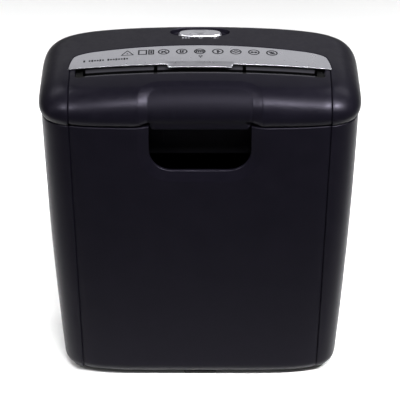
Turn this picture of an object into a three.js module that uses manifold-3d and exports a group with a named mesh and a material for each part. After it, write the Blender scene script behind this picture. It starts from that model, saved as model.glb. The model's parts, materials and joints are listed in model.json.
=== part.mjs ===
// Paper shredder: a lift-off cutting head that sits on a waste bin.
// Millimetres, +Z up, the front of the shredder faces -Y, and the origin is on the floor under its centre.
import * as THREE from "three";
import { mergeVertices } from "three/addons/utils/BufferGeometryUtils.js";
import Module from "manifold-3d";

const wasm = await Module();
wasm.setup();

// ---- Driving dimensions ----
const GAP = 0.3; // left between pieces that touch
const HEIGHT = 321.6; // highest point of the head, above the floor
const HEAD_HALF_WIDTH = 150;
const HEAD_HALF_DEPTH = 76;
const HEAD_EXPONENT = 5.9; // how square the head is, seen from above
const HEAD_BOTTOM = 281.9; // lower edge of the head's skirt
const HEAD_TUCK = 3; // the skirt leans in this much towards its lower edge
const HEAD_WALL = 3;
const ROLL_RADIUS = 23; // the rounded edge between the top and the sides
const CROWN = 8.6; // how far the top falls from the middle to each side
const FRONT_DROP = 8; // how far the top falls from the middle to the front

const BIN_TOP = 281.4;
const BIN_HALF_WIDTH = 148.1; // at the rim
const BIN_HALF_DEPTH = 74;
const BIN_FOOT_HALF_WIDTH = 133.1; // at the floor
const BIN_FOOT_HALF_DEPTH = 66;
const BIN_BOW = 2.1; // the sides bow out this much at half height
const BIN_EXPONENT = 5.5;
const BIN_WALL = 2.8;
const BIN_FILLET = 12.7; // between the bin's floor and its sides
const FOOT_HEIGHT = 2;

const BAND_HALF_WIDTH_TOP = 121; // the recessed centre band, at the rim
const BAND_HALF_WIDTH_BOTTOM = 114.4;
const BAND_DEPTH = 1.2;

const GRIP_HALF_WIDTH = 51; // the hand recess in the front of the head
const GRIP_DEPTH = 5;
const GRIP_WALL = 2.5;
const GRIP_TOP_Y = -42; // the recess starts this far forward on the top
const TONGUE = { halfWidth: 46.3, bottom: 277.5 }; // the recess's lower lip reaches down into the bin's notch
const WINDOW_HALF_WIDTH = 47.3; // the notch in the bin that the fingers go through
const WINDOW_BOTTOM = 235.5;
const WINDOW_RADIUS = 21;
const RIM_BAND = 10.3; // the bevelled band around the hand recess
const RIM_BAND_DEPTH = 2.4;

const THROAT_HALF_LENGTH = 108.5; // an A4 sheet is 210 wide
const THROAT_FRONT = -30;
const THROAT_REAR = -19.4;
const THROAT_END_WALL = 7;
const THROAT_SIDE_WALL = 4;

const THROAT_TOP_DROP = 3; // the guide's top edge lies this far below the head's surface

const PANEL_FRONT = THROAT_REAR - 1.5; // the panel's front edge hangs a little over the slot
const PANEL_HALF_WIDTH = 122.3;
const PANEL_REAR = 17;
const PANEL_TAB = { halfWidth: 30, front: -22.6 }; // the panel's lip over the middle of the slot
const PANEL_THICKNESS = 1.5;

const SWITCH_Y = 46;
const SWITCH_RECESS = { halfLength: 27.7, halfWidth: 10.2, depth: 4 };
const SWITCH_CUP = { halfLength: 31, halfWidth: 13.5, depth: 6.5 }; // the recess's wall and floor
const SWITCH_TRAVEL = 5; // each way from OFF
const KNOB = { halfLength: 21, halfWidth: 7.4, depth: SWITCH_RECESS.depth - GAP };
const STEM = { halfLength: 2.2, halfWidth: 1.6, bottom: 308.5 }; // the knob's post, down into the switch

const CORD_HOLE_RADIUS = 6; // the hole in the rear wall that the mains cord comes out of
const CORD_X = 95;
const CORD_Z = 295;

const TUB = { halfWidth: 137, front: -45, rear: 62, bottom: 240, wall: 2.5, radius: 24 };
const CUTTER_Z = 280;
const NIP_Y = -10; // the paper passes between the cutters here
const CUTTER_RADIUS = 16;
const SPACER_RADIUS = 10.5;
const DISC_PITCH = 12;
const DISC_WIDTH = 5.7;
const DISC_PAIRS = 18;
const SYNC_TEETH = 14;
const SYNC_MODULE = 2;
const SHAFT_RADIUS = 5;
const PLATE_X = 113; // inner face of each side plate
const PLATE_THICKNESS = 2;
const MOTOR = { y: 41.5, z: 265.5, radius: 17, from: -112.7, to: -48 };
const PINION_TEETH = 10;
const WHEEL_TEETH = 30;
const STAGE_MODULES = [0.8, 1, 1.25]; // motor to first wheel, first to second, second to cutter
const LAYER_X = [-116.4, -122, -127.6]; // the face of each gear layer nearest the side plate
const GEAR_WIDTH = 4.8;
const GEAR_BORE = 2.3;
const AXLE_RADIUS = 2;

const PLASTIC_BLACK = { color: 0x2a2930, roughness: 0.45, metalness: 0 };
const PLASTIC_INNER = { color: 0x17171a, roughness: 0.6, metalness: 0 };
const PANEL_SILVER = { color: 0xaaaab2, roughness: 0.4, metalness: 0.6 };
const STEEL = { color: 0x9a9da1, roughness: 0.35, metalness: 1 };
const NYLON = { color: 0xe6e2d6, roughness: 0.5, metalness: 0 };
const BRASS = { color: 0xb5964e, roughness: 0.4, metalness: 1 };
const RUBBER = { color: 0x1b1b1b, roughness: 0.9, metalness: 0 };
const BOARD_GREEN = { color: 0x2f6b3c, roughness: 0.5, metalness: 0 };

const shredder = new THREE.Group();
shredder.name = "paper_shredder";

// ---- Solids: three.js geometry in, manifold solids for cuts and joins, three.js meshes out ----
function solidOf(geometry) {
  const bare = geometry.index ? geometry.toNonIndexed() : geometry.clone();
  bare.deleteAttribute("normal");
  bare.deleteAttribute("uv");
  const merged = mergeVertices(bare, 1e-4);
  return new wasm.Manifold(
    new wasm.Mesh({
      numProp: 3,
      vertProperties: merged.attributes.position.array,
      triVerts: new Uint32Array(merged.index.array),
    }),
  );
}

function add(name, solid, look, parent = shredder) {
  const made = solid.getMesh();
  const geometry = new THREE.BufferGeometry();
  geometry.setAttribute("position", new THREE.BufferAttribute(made.vertProperties, 3));
  geometry.setIndex(new THREE.BufferAttribute(made.triVerts, 1));
  geometry.computeVertexNormals();
  const mesh = new THREE.Mesh(geometry, new THREE.MeshStandardMaterial(look));
  mesh.name = name;
  parent.add(mesh);
  return mesh;
}

function union(solids) {
  return solids.reduce((whole, piece) => whole.add(piece));
}

// A box between two opposite corners.
function block([x0, y0, z0], [x1, y1, z1]) {
  const box = new THREE.BoxGeometry(x1 - x0, y1 - y0, z1 - z0);
  return solidOf(box.translate((x0 + x1) / 2, (y0 + y1) / 2, (z0 + z1) / 2));
}

// A vertical rod between two heights.
function post(x, y, radius, z0, z1, sides = 12) {
  const rod = new THREE.CylinderGeometry(radius, radius, z1 - z0, sides);
  return solidOf(rod.rotateX(Math.PI / 2).translate(x, y, (z0 + z1) / 2));
}

// A rod along X between two x positions.
function rodX(y, z, radius, x0, x1, sides = 14) {
  const rod = new THREE.CylinderGeometry(radius, radius, x1 - x0, sides);
  return solidOf(rod.rotateZ(Math.PI / 2).translate((x0 + x1) / 2, y, z));
}

// A plan outline pushed up from one height to another.
function prism(shape, z0, z1, curveSegments = 8) {
  const body = new THREE.ExtrudeGeometry(shape, { depth: z1 - z0, bevelEnabled: false, curveSegments });
  return solidOf(body.translate(0, 0, z0));
}

// A side outline, drawn with its x along the world's Y and its y along Z, pushed along X.
const SIDEWAYS = new THREE.Matrix4().makeBasis(
  new THREE.Vector3(0, 1, 0),
  new THREE.Vector3(0, 0, 1),
  new THREE.Vector3(1, 0, 0),
);
function sideways(shape, x0, x1, curveSegments = 8) {
  const body = new THREE.ExtrudeGeometry(shape, { depth: x1 - x0, bevelEnabled: false, curveSegments });
  return solidOf(body.applyMatrix4(SIDEWAYS).translate(x0, 0, 0));
}

function polygon(points) {
  return new THREE.Shape(points.map(([x, y]) => new THREE.Vector2(x, y)));
}

function roundedRectangle(x0, y0, x1, y1, radius) {
  const shape = new THREE.Shape();
  shape.absarc(x1 - radius, y0 + radius, radius, -Math.PI / 2, 0);
  shape.absarc(x1 - radius, y1 - radius, radius, 0, Math.PI / 2);
  shape.absarc(x0 + radius, y1 - radius, radius, Math.PI / 2, Math.PI);
  shape.absarc(x0 + radius, y0 + radius, radius, Math.PI, Math.PI * 1.5);
  return shape;
}

// A body whose level sections are superellipses. Each ring is { a, b, z }: half-width, half-depth, height.
// It starts as a lathe, one profile point for each ring, and each ring is then given its own outline.
// Its front half bulges a little more than its rear, so that the recessed centre band is as far forward as
// the rear face is back.
const AROUND = 40;
function loft(rings, exponent, dropAt = () => 0) {
  const last = rings.length - 1;
  const profile = rings.map((ring, i) => new THREE.Vector2(1, i));
  const lathe = new THREE.LatheGeometry(
    [new THREE.Vector2(0, 0), ...profile, new THREE.Vector2(0, last)],
    AROUND,
  ).rotateX(Math.PI / 2);
  const position = lathe.attributes.position;
  for (let i = 0; i < position.count; i++) {
    const ring = rings[Math.round(Math.abs(position.getZ(i)))];
    const [c, s] = [position.getX(i), position.getY(i)];
    const onAxis = Math.hypot(c, s) < 0.5;
    const reach = onAxis ? 0 : (Math.abs(c) ** exponent + Math.abs(s) ** exponent) ** (-1 / exponent);
    const x = ring.a * c * reach;
    const y = (s < 0 ? ring.b + BAND_DEPTH : ring.b) * s * reach;
    position.setXYZ(i, x, y, ring.z - (ring.share ?? 0) * dropAt(x, y));
  }
  return solidOf(lathe);
}

// ---- The two outer forms ----
function crownDrop(x, y) {
  return CROWN * (x / HEAD_HALF_WIDTH) ** 2 + FRONT_DROP * Math.max(0, -y / HEAD_HALF_DEPTH) ** 2;
}

// The head's outer form, or the same form shrunk all round by an inset.
function headForm(inset = 0, bottom = HEAD_BOTTOM) {
  const a = HEAD_HALF_WIDTH - inset;
  const b = HEAD_HALF_DEPTH - inset;
  const top = HEIGHT - inset;
  const radius = ROLL_RADIUS - inset;
  const rings = [{ a: a - HEAD_TUCK, b: b - HEAD_TUCK, z: bottom }];
  // The crown fades in over the rolled edge, so that the widest line stays level.
  const widest = HEIGHT - ROLL_RADIUS - CROWN;
  for (const degrees of [0, 25, 50, 70, 90]) {
    const angle = THREE.MathUtils.degToRad(degrees);
    const lean = radius * (1 - Math.cos(angle));
    const rise = Math.sin(angle);
    rings.push({ a: a - lean, b: b - lean, z: THREE.MathUtils.lerp(widest, top, rise), share: rise });
  }
  for (const scale of [0.7, 0.35]) {
    rings.push({ a: (a - radius) * scale, b: (b - radius) * scale, z: top, share: 1 });
  }
  return loft(rings, HEAD_EXPONENT, crownDrop);
}

function binSize(z) {
  const t = z / BIN_TOP;
  const bow = BIN_BOW * 4 * t * (1 - t);
  return {
    a: THREE.MathUtils.lerp(BIN_FOOT_HALF_WIDTH, BIN_HALF_WIDTH, t) + bow,
    b: THREE.MathUtils.lerp(BIN_FOOT_HALF_DEPTH, BIN_HALF_DEPTH, t) + bow,
  };
}

// The bin's outer form, or the same form shrunk by an inset, open to cut at any top height.
function binForm(inset, bottom, top = BIN_TOP) {
  const fillet = BIN_FILLET - inset * 0.5;
  const rings = [];
  for (const degrees of [90, 60, 30]) {
    const angle = THREE.MathUtils.degToRad(degrees);
    const z = bottom + fillet * (1 - Math.sin(angle));
    const lean = inset + fillet * (1 - Math.cos(angle));
    const { a, b } = binSize(z);
    rings.push({ a: a - lean, b: b - lean, z });
  }
  for (const share of [0, 0.33, 0.67, 1]) {
    const z = THREE.MathUtils.lerp(bottom + fillet, top, share);
    const { a, b } = binSize(Math.min(z, BIN_TOP));
    rings.push({ a: a - inset, b: b - inset, z });
  }
  return loft(rings, BIN_EXPONENT);
}

// A front-view outline, drawn with its x along X and its y along Z, pushed along Y.
function frontPrism(shape, y0, y1, curveSegments = 6) {
  const body = new THREE.ExtrudeGeometry(shape, { depth: y1 - y0, bevelEnabled: false, curveSegments });
  return solidOf(body.rotateX(Math.PI / 2).translate(0, y1, 0));
}

const FAR = 200; // past the outside of everything

function bandSlab() {
  const slope = (BAND_HALF_WIDTH_TOP - BAND_HALF_WIDTH_BOTTOM) / BIN_TOP;
  const above = BAND_HALF_WIDTH_TOP + slope * (HEIGHT + 20 - BIN_TOP);
  const outline = polygon([
    [-BAND_HALF_WIDTH_BOTTOM, 0],
    [BAND_HALF_WIDTH_BOTTOM, 0],
    [above, HEIGHT + 20],
    [-above, HEIGHT + 20],
  ]);
  return frontPrism(outline, -FAR, THROAT_FRONT + 3);
}

// The outline of the bin's hand notch, grown by an amount; its top is left open above the rim.
function windowPrism(grow, y0, y1) {
  const half = WINDOW_HALF_WIDTH + grow;
  const outline = roundedRectangle(-half, WINDOW_BOTTOM - grow, half, HEIGHT + 60, WINDOW_RADIUS + grow);
  return frontPrism(outline, y0, y1);
}

// ---- The bin ----
function makeBin() {
  const outer = binForm(0, FOOT_HEIGHT);
  const band = bandSlab().subtract(binForm(BAND_DEPTH, -10));
  const rimBand = windowPrism(RIM_BAND, -FAR, -20).subtract(binForm(RIM_BAND_DEPTH, -10));
  const hollow = binForm(BIN_WALL + BAND_DEPTH, FOOT_HEIGHT + BIN_WALL, BIN_TOP + 10);
  const notch = windowPrism(0, -FAR, -20);
  const body = outer.subtract(band).subtract(rimBand);
  const { x, y, ribTop } = INTERLOCK;
  const rib = block([x - 3, -FAR, ribTop - 18], [x + 3, y + 3, ribTop]).intersect(body);
  add("bin_shell", body.subtract(hollow).subtract(notch).add(rib), PLASTIC_BLACK);
}

function makeFeet() {
  const reachX = BIN_FOOT_HALF_WIDTH - BIN_FILLET - 10;
  const reachY = BIN_FOOT_HALF_DEPTH - BIN_FILLET;
  const top = FOOT_HEIGHT - GAP / 10;
  const feet = {
    bin_foot_front: roundedRectangle(-16, -reachY - 6, 16, -reachY + 6, 3),
    bin_foot_rear: roundedRectangle(-16, reachY - 6, 16, reachY + 6, 3),
    bin_foot_left: roundedRectangle(-reachX - 6, -16, -reachX + 6, 16, 3),
    bin_foot_right: roundedRectangle(reachX - 6, -16, reachX + 6, 16, 3),
  };
  for (const [name, outline] of Object.entries(feet)) {
    add(name, prism(outline, 0, top, 4), RUBBER);
  }
}

// ---- The head's covers ----
// The silver panel's outline seen from above, grown by an amount.
function panelOutline(grow) {
  const half = PANEL_HALF_WIDTH + grow;
  const front = PANEL_FRONT - grow;
  const rear = PANEL_REAR + grow;
  const shape = new THREE.Shape();
  shape.moveTo(-half, front);
  shape.lineTo(-PANEL_TAB.halfWidth - grow, front);
  shape.lineTo(-PANEL_TAB.halfWidth - grow, PANEL_TAB.front - grow);
  shape.lineTo(PANEL_TAB.halfWidth + grow, PANEL_TAB.front - grow);
  shape.lineTo(PANEL_TAB.halfWidth + grow, front);
  shape.lineTo(half, front);
  shape.quadraticCurveTo(half - 0.8, -8, half - 3.8, 1);
  shape.quadraticCurveTo(half - 7.3, rear - 9.7, half - 22.3, rear - 7);
  shape.quadraticCurveTo(50, rear, 0, rear);
  shape.quadraticCurveTo(-50, rear, 22.3 - half, rear - 7);
  shape.quadraticCurveTo(7.3 - half, rear - 9.7, 3.8 - half, 1);
  shape.quadraticCurveTo(0.8 - half, -8, -half, front);
  return shape;
}

function lowered(solid, amount) {
  return solid.translate([0, 0, -amount]);
}

function makeControlPanel(outer) {
  const skin = outer.subtract(lowered(outer, PANEL_THICKNESS));
  add("control_panel", prism(panelOutline(0), 290, FAR * 2, 6).intersect(skin), PANEL_SILVER);
}

// The room the panel sits in.
function panelSeat(outer) {
  return prism(panelOutline(GAP), 290, FAR * 2, 6).subtract(lowered(outer, PANEL_THICKNESS + GAP));
}

// Where the four housing screws go: [x, y]. The front pair hold the flange, the rear pair stand in the tub.
const FRONT_SCREWS = [
  [-125, -56],
  [125, -56],
];
const REAR_SCREWS = [
  [105, 48],
  [-18, 50],
];
const PILLAR_RADIUS = 5;
const REAR_PILLAR_TOP = 270;
const SCREW_RADIUS = 1.8;
const FLANGE = { bottom: BIN_TOP + GAP, top: BIN_TOP + GAP + 2.5 };

function gripPrism(grow) {
  const half = GRIP_HALF_WIDTH + grow;
  const outline = roundedRectangle(-half, -FAR, half, GRIP_TOP_Y + grow, 8 + grow);
  return prism(outline, HEAD_BOTTOM - 5, FAR * 2, 4);
}

function makeHeadCover(outer) {
  const below = HEAD_BOTTOM - 1;
  const body = outer.subtract(bandSlab().subtract(headForm(BAND_DEPTH, below)));
  const gripFace = headForm(GRIP_DEPTH, TONGUE.bottom - 1);
  const gripBack = headForm(GRIP_DEPTH + GRIP_WALL, TONGUE.bottom - 1);
  const pocket = gripPrism(GRIP_WALL).intersect(body).subtract(gripBack);
  const tongueReach = [TONGUE.halfWidth, -HEAD_HALF_DEPTH / 2, HEAD_BOTTOM + 1];
  const tongue = block([-TONGUE.halfWidth, -FAR, TONGUE.bottom], tongueReach).intersect(gripFace);
  let cover = body.subtract(headForm(HEAD_WALL, below)).add(pocket);
  cover = cover.subtract(gripPrism(0).subtract(gripFace)).add(tongue.subtract(gripBack));
  for (const [x, y] of FRONT_SCREWS) {
    cover = cover.add(pillar(x, y, FLANGE.top + GAP, outer));
  }
  for (const [x, y] of REAR_SCREWS) {
    cover = cover.add(pillar(x, y, REAR_PILLAR_TOP + GAP, outer));
  }
  cover = cover.add(ovalPrism(SWITCH_CUP).intersect(outer));
  cover = cover.subtract(ovalPrism(SWITCH_RECESS)).subtract(stemSlot(0.8, 300));
  cover = cover.subtract(panelSeat(outer));
  const slot = [
    THROAT_HALF_LENGTH + THROAT_END_WALL + GAP,
    THROAT_FRONT - THROAT_SIDE_WALL - GAP,
    THROAT_REAR + THROAT_SIDE_WALL + GAP,
  ];
  cover = cover.subtract(block([-slot[0], slot[1], 290], [slot[0], slot[2], FAR * 2]));
  add("head_cover", cover.subtract(cordBore(CORD_HOLE_RADIUS, 66, 86)), PLASTIC_BLACK);
}

// An upright oval around the switch, from a depth below the top up past everything.
function ovalPrism({ halfLength, halfWidth, depth }) {
  const oval = new THREE.Shape().absellipse(0, SWITCH_Y, halfLength, halfWidth, 0, Math.PI * 2);
  return prism(oval, HEIGHT - depth, FAR * 2, 14);
}

// The room the knob's stem slides in, with a clearance at each end of its travel.
function stemSlot(clearance, bottom) {
  const x = SWITCH_TRAVEL + STEM.halfLength + clearance;
  const y = STEM.halfWidth + 0.4;
  return block([-x, SWITCH_Y - y, bottom], [x, SWITCH_Y + y, HEIGHT]);
}

// A screw pillar hanging from the inside of the top cover, with a blind hole up its middle.
function pillar(x, y, bottom, outer) {
  const hole = post(x, y, SCREW_RADIUS + GAP, bottom - 1, bottom + 16);
  return post(x, y, PILLAR_RADIUS, bottom, HEIGHT).intersect(outer).subtract(hole);
}

// A rod along Y where the mains cord comes out.
function cordBore(radius, y0, y1) {
  const rod = new THREE.CylinderGeometry(radius, radius, y1 - y0, 16);
  return solidOf(rod.translate(CORD_X, (y0 + y1) / 2, CORD_Z));
}

const SENSOR_PIVOT = { y: -4, z: 306 };
const SENSOR_PIN_RADIUS = 1;

// The black guide that the paper drops through: a funnel from the slot down to the cutters' nip.
const THROAT_BOTTOM = CUTTER_Z + CUTTER_RADIUS + 1;
function makeThroatGuide(outer) {
  const outside = polygon([
    [THROAT_FRONT - THROAT_SIDE_WALL, HEIGHT],
    [THROAT_FRONT - THROAT_SIDE_WALL, 308],
    [NIP_Y - 5, THROAT_BOTTOM],
    [NIP_Y + 5, THROAT_BOTTOM],
    [NIP_Y + 5, THROAT_BOTTOM + 2],
    [THROAT_REAR + THROAT_SIDE_WALL, 309],
    [THROAT_REAR + THROAT_SIDE_WALL, HEIGHT],
  ]);
  const inside = polygon([
    [THROAT_FRONT, HEIGHT + 1],
    [THROAT_FRONT, 312],
    [NIP_Y - 2.5, THROAT_BOTTOM - 1],
    [NIP_Y + 2.5, THROAT_BOTTOM - 1],
    [THROAT_REAR, 308],
    [THROAT_REAR, HEIGHT + 1],
  ]);
  const reach = THROAT_HALF_LENGTH + THROAT_END_WALL;
  const wall = sideways(outside, -reach, reach);
  const throat = sideways(inside, -THROAT_HALF_LENGTH, THROAT_HALF_LENGTH);
  const leverSlot = block([-3.5, THROAT_REAR - 1, THROAT_BOTTOM - 1], [3.5, THROAT_REAR + 20, 310]);
  let guide = wall.intersect(lowered(outer, THROAT_TOP_DROP)).subtract(throat);
  guide = guide.subtract(leverSlot).subtract(panelSeat(outer));
  const { y, z } = SENSOR_PIVOT;
  for (const side of [-1, 1]) {
    const [near, far] = [side * 3.8, side * 6.6].sort((a, b) => a - b);
    const lug = block([near, y - 8.9, z - 4], [far, y + 2.5, z + 3]);
    guide = guide.add(lug.subtract(rodX(y, z, SENSOR_PIN_RADIUS + GAP, -8, 8, 10)));
  }
  add("throat_guide", guide, PLASTIC_INNER);
}

// The tub that holds the cutting unit. Its flange closes the head from below, and shreds fall through its floor.
const TUB_CUT = { halfWidth: 109, front: -38, rear: 18 };
const TUB_RIB_XS = [-35, 27]; // stiffening ribs on the tub's front wall
const INTERLOCK = { x: 95, y: -56, ribTop: BIN_TOP - 2.2 };
function makeLowerHousing() {
  const { halfWidth, front, rear, bottom, wall, radius } = TUB;
  const inset = (by) => roundedRectangle(-halfWidth + by, front + by, halfWidth - by, rear - by, radius - by);
  const level = block([-FAR, -FAR, FLANGE.bottom], [FAR, FAR, FLANGE.top]);
  const gripClearance = block([-GRIP_HALF_WIDTH - 4, -FAR, 270], [GRIP_HALF_WIDTH + 4, -65.5, 300]);
  const flange = headForm(HEAD_WALL + GAP, HEAD_BOTTOM - 1).intersect(level).subtract(gripClearance);
  let housing = prism(inset(0), bottom, FLANGE.top, 5).add(flange);
  housing = housing.subtract(prism(inset(wall), bottom + wall, FLANGE.top + 5, 5));
  for (const [x, y] of REAR_SCREWS) {
    housing = housing.add(post(x, y, PILLAR_RADIUS + 1, bottom + 1, REAR_PILLAR_TOP));
    housing = housing.subtract(post(x, y, SCREW_RADIUS + GAP, bottom - 1, REAR_PILLAR_TOP + 1));
    housing = housing.subtract(post(x, y, SCREW_HEAD_RADIUS + GAP, bottom - 1, bottom + 4.3));
  }
  for (const [x, y] of FRONT_SCREWS) {
    housing = housing.subtract(post(x, y, SCREW_RADIUS + GAP, FLANGE.bottom - 1, FLANGE.top + 1));
  }
  housing = housing.subtract(post(INTERLOCK.x, INTERLOCK.y, PLUNGER_RADIUS + GAP, 270, 290));
  for (const x of TUB_RIB_XS) {
    housing = housing.add(block([x - 1.2, front - 3, bottom + 14], [x + 1.2, front + 1, FLANGE.bottom]));
  }
  const { halfWidth: reach, front: near, rear: far } = TUB_CUT;
  housing = housing.subtract(block([-reach, near, bottom - 1], [reach, far, bottom + wall + 1]));
  add("lower_housing", housing, PLASTIC_INNER);
}

const SCREW_HEAD_RADIUS = 3.3;
function makeHousingScrews() {
  const places = [
    ...FRONT_SCREWS.map(([x, y]) => ({ x, y, seat: FLANGE.bottom - GAP, length: 16 })),
    ...REAR_SCREWS.map(([x, y]) => ({ x, y, seat: TUB.bottom + 4, length: 40 })),
  ];
  places.forEach(({ x, y, seat, length }, i) => {
    const head = post(x, y, SCREW_HEAD_RADIUS, seat - 2.4, seat);
    const shank = post(x, y, SCREW_RADIUS, seat - 1, seat + length, 10);
    const slots = [
      block([x - 2.4, y - 0.5, seat - 3], [x + 2.4, y + 0.5, seat - 1.5]),
      block([x - 0.5, y - 2.4, seat - 3], [x + 0.5, y + 2.4, seat - 1.5]),
    ];
    add(`housing_screw_${i + 1}`, head.add(shank).subtract(union(slots)), STEEL);
  });
}

function makeCordGland() {
  const inside = HEAD_HALF_DEPTH - HEAD_WALL - 4.5;
  const sleeve = cordBore(CORD_HOLE_RADIUS - GAP, inside - 2, HEAD_HALF_DEPTH - 0.8);
  const flange = cordBore(CORD_HOLE_RADIUS + 1.5, inside - 2, inside);
  add("cord_gland", sleeve.add(flange).subtract(cordBore(3.2, 60, 90)), RUBBER);
}

// ---- The mode switch ----
function makeSwitch(outer) {
  const grip = ovalPrism(KNOB).intersect(lowered(outer, 0.1));
  const { halfLength, halfWidth, bottom } = STEM;
  const top = HEIGHT - KNOB.depth + 1;
  const stem = block([-halfLength, SWITCH_Y - halfWidth, bottom], [halfLength, SWITCH_Y + halfWidth, top]);
  add("switch_knob", grip.add(stem), PANEL_SILVER);
  const body = block([-13, SWITCH_Y - 6, 303], [13, SWITCH_Y + 6, HEIGHT - SWITCH_CUP.depth - GAP]);
  add("slide_switch", body.subtract(stemSlot(GAP, bottom - 0.5)), PLASTIC_INNER);
}

// ---- The cutting unit ----
const FRONT_SHAFT_Y = NIP_Y - (SYNC_TEETH * SYNC_MODULE) / 2;
const REAR_SHAFT_Y = NIP_Y + (SYNC_TEETH * SYNC_MODULE) / 2;
const BUSH_RADIUS = 7;

// Where a wheel sits so that it meshes with two others whose places are known.
// Of the two places that would do, this gives the higher one.
function meshPoint(first, reachFirst, second, reachSecond) {
  const [dy, dz] = [second.y - first.y, second.z - first.z];
  const apart = Math.hypot(dy, dz);
  const along = (reachFirst ** 2 - reachSecond ** 2 + apart ** 2) / (2 * apart);
  const aside = Math.sqrt(reachFirst ** 2 - along ** 2);
  return {
    y: first.y + (dy * along - dz * aside) / apart,
    z: first.z + (dz * along + dy * aside) / apart,
  };
}

const centreDistance = (module) => ((PINION_TEETH + WHEEL_TEETH) * module) / 2;
const CUTTER_WHEEL = { y: REAR_SHAFT_Y, z: CUTTER_Z };
const SECOND_WHEEL_ANGLE = THREE.MathUtils.degToRad(-23.5);
const SECOND_WHEEL = {
  y: CUTTER_WHEEL.y + centreDistance(STAGE_MODULES[2]) * Math.cos(SECOND_WHEEL_ANGLE),
  z: CUTTER_WHEEL.z + centreDistance(STAGE_MODULES[2]) * Math.sin(SECOND_WHEEL_ANGLE),
};
const FIRST_WHEEL = meshPoint(
  SECOND_WHEEL,
  centreDistance(STAGE_MODULES[1]),
  MOTOR,
  centreDistance(STAGE_MODULES[0]),
);

function makeSidePlates() {
  const top = THROAT_BOTTOM - 0.5;
  const sides = [
    { name: "side_plate_left", outside: -PLATE_X - PLATE_THICKNESS, rear: 58 },
    { name: "side_plate_right", outside: PLATE_X, rear: 23 },
  ];
  for (const { name, outside, rear } of sides) {
    const x = [outside, outside + PLATE_THICKNESS];
    let plate = sideways(roundedRectangle(-41.5, TUB.bottom + 6, rear, top, 4), ...x, 3);
    for (const y of [FRONT_SHAFT_Y, REAR_SHAFT_Y]) {
      plate = plate.subtract(rodX(y, CUTTER_Z, BUSH_RADIUS + GAP, x[0] - 1, x[1] + 1));
    }
    if (rear > MOTOR.y) {
      plate = plate.subtract(rodX(MOTOR.y, MOTOR.z, 6, x[0] - 1, x[1] + 1));
      for (const y of MOTOR_SCREW_YS) {
        plate = plate.subtract(rodX(y, MOTOR_SCREW_Z, MOTOR_SCREW_RADIUS + GAP, x[0] - 1, x[1] + 1, 10));
      }
    }
    add(name, plate, STEEL);
  }
}

const TIE_ROD_RADIUS = 3;
function makeTieRods() {
  const reach = PLATE_X - GAP;
  add("tie_rod_front", rodX(-38.2, 250, TIE_ROD_RADIUS, -reach, reach, 12), STEEL);
  add("tie_rod_rear", rodX(19.5, 250, TIE_ROD_RADIUS, -reach, reach, 12), STEEL);
}

// A flanged bush in a side plate; side is -1 on the left and +1 on the right.
function makeBush(name, y, side) {
  const inside = side * (PLATE_X - 1);
  const face = side * (PLATE_X + PLATE_THICKNESS + GAP);
  const outside = side * (PLATE_X + PLATE_THICKNESS + GAP + 0.8);
  const span = (radius, a, b, sides) => rodX(y, CUTTER_Z, radius, Math.min(a, b), Math.max(a, b), sides);
  const sleeve = span(BUSH_RADIUS, inside, outside).add(span(BUSH_RADIUS + 1.5, face, outside));
  add(name, sleeve.subtract(span(SHAFT_RADIUS + GAP, -FAR * side, FAR * side)), BRASS);
}

function makeBushes() {
  makeBush("bush_front_left", FRONT_SHAFT_Y, -1);
  makeBush("bush_rear_left", REAR_SHAFT_Y, -1);
  makeBush("bush_front_right", FRONT_SHAFT_Y, 1);
  makeBush("bush_rear_right", REAR_SHAFT_Y, 1);
}

// One cutter roll: discs and spacers on a bored sleeve, turned about X.
function cutterRoll(y, offset) {
  const half = (DISC_PITCH * DISC_PAIRS) / 2;
  const bore = SHAFT_RADIUS + GAP;
  const profile = [[bore, -half], [SPACER_RADIUS, -half]];
  for (let i = 0; i < DISC_PAIRS; i++) {
    const middle = -half + DISC_PITCH * (i + 0.25) + offset;
    const [near, far] = [middle - DISC_WIDTH / 2, middle + DISC_WIDTH / 2];
    profile.push([SPACER_RADIUS, near], [CUTTER_RADIUS, near], [CUTTER_RADIUS, far], [SPACER_RADIUS, far]);
  }
  profile.push([SPACER_RADIUS, half], [bore, half], [bore, -half]);
  const lathe = new THREE.LatheGeometry(profile.map(([r, x]) => new THREE.Vector2(r, x)), 10);
  return solidOf(lathe.rotateZ(-Math.PI / 2).translate(0, y, CUTTER_Z));
}

const FRONT_DISC_OFFSET = 0;
const REAR_DISC_OFFSET = DISC_PITCH / 2;
function makeCutters() {
  add("cutter_discs_front", cutterRoll(FRONT_SHAFT_Y, FRONT_DISC_OFFSET), STEEL);
  add("cutter_discs_rear", cutterRoll(REAR_SHAFT_Y, REAR_DISC_OFFSET), STEEL);
  const right = SYNC_X[1] + 1.5;
  const rearLeft = LAYER_X[2] - GEAR_WIDTH;
  add("cutter_shaft_front", rodX(FRONT_SHAFT_Y, CUTTER_Z, SHAFT_RADIUS, -PLATE_X - 4, right, 12), STEEL);
  add("cutter_shaft_rear", rodX(REAR_SHAFT_Y, CUTTER_Z, SHAFT_RADIUS, rearLeft, right, 12), STEEL);
}

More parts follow.
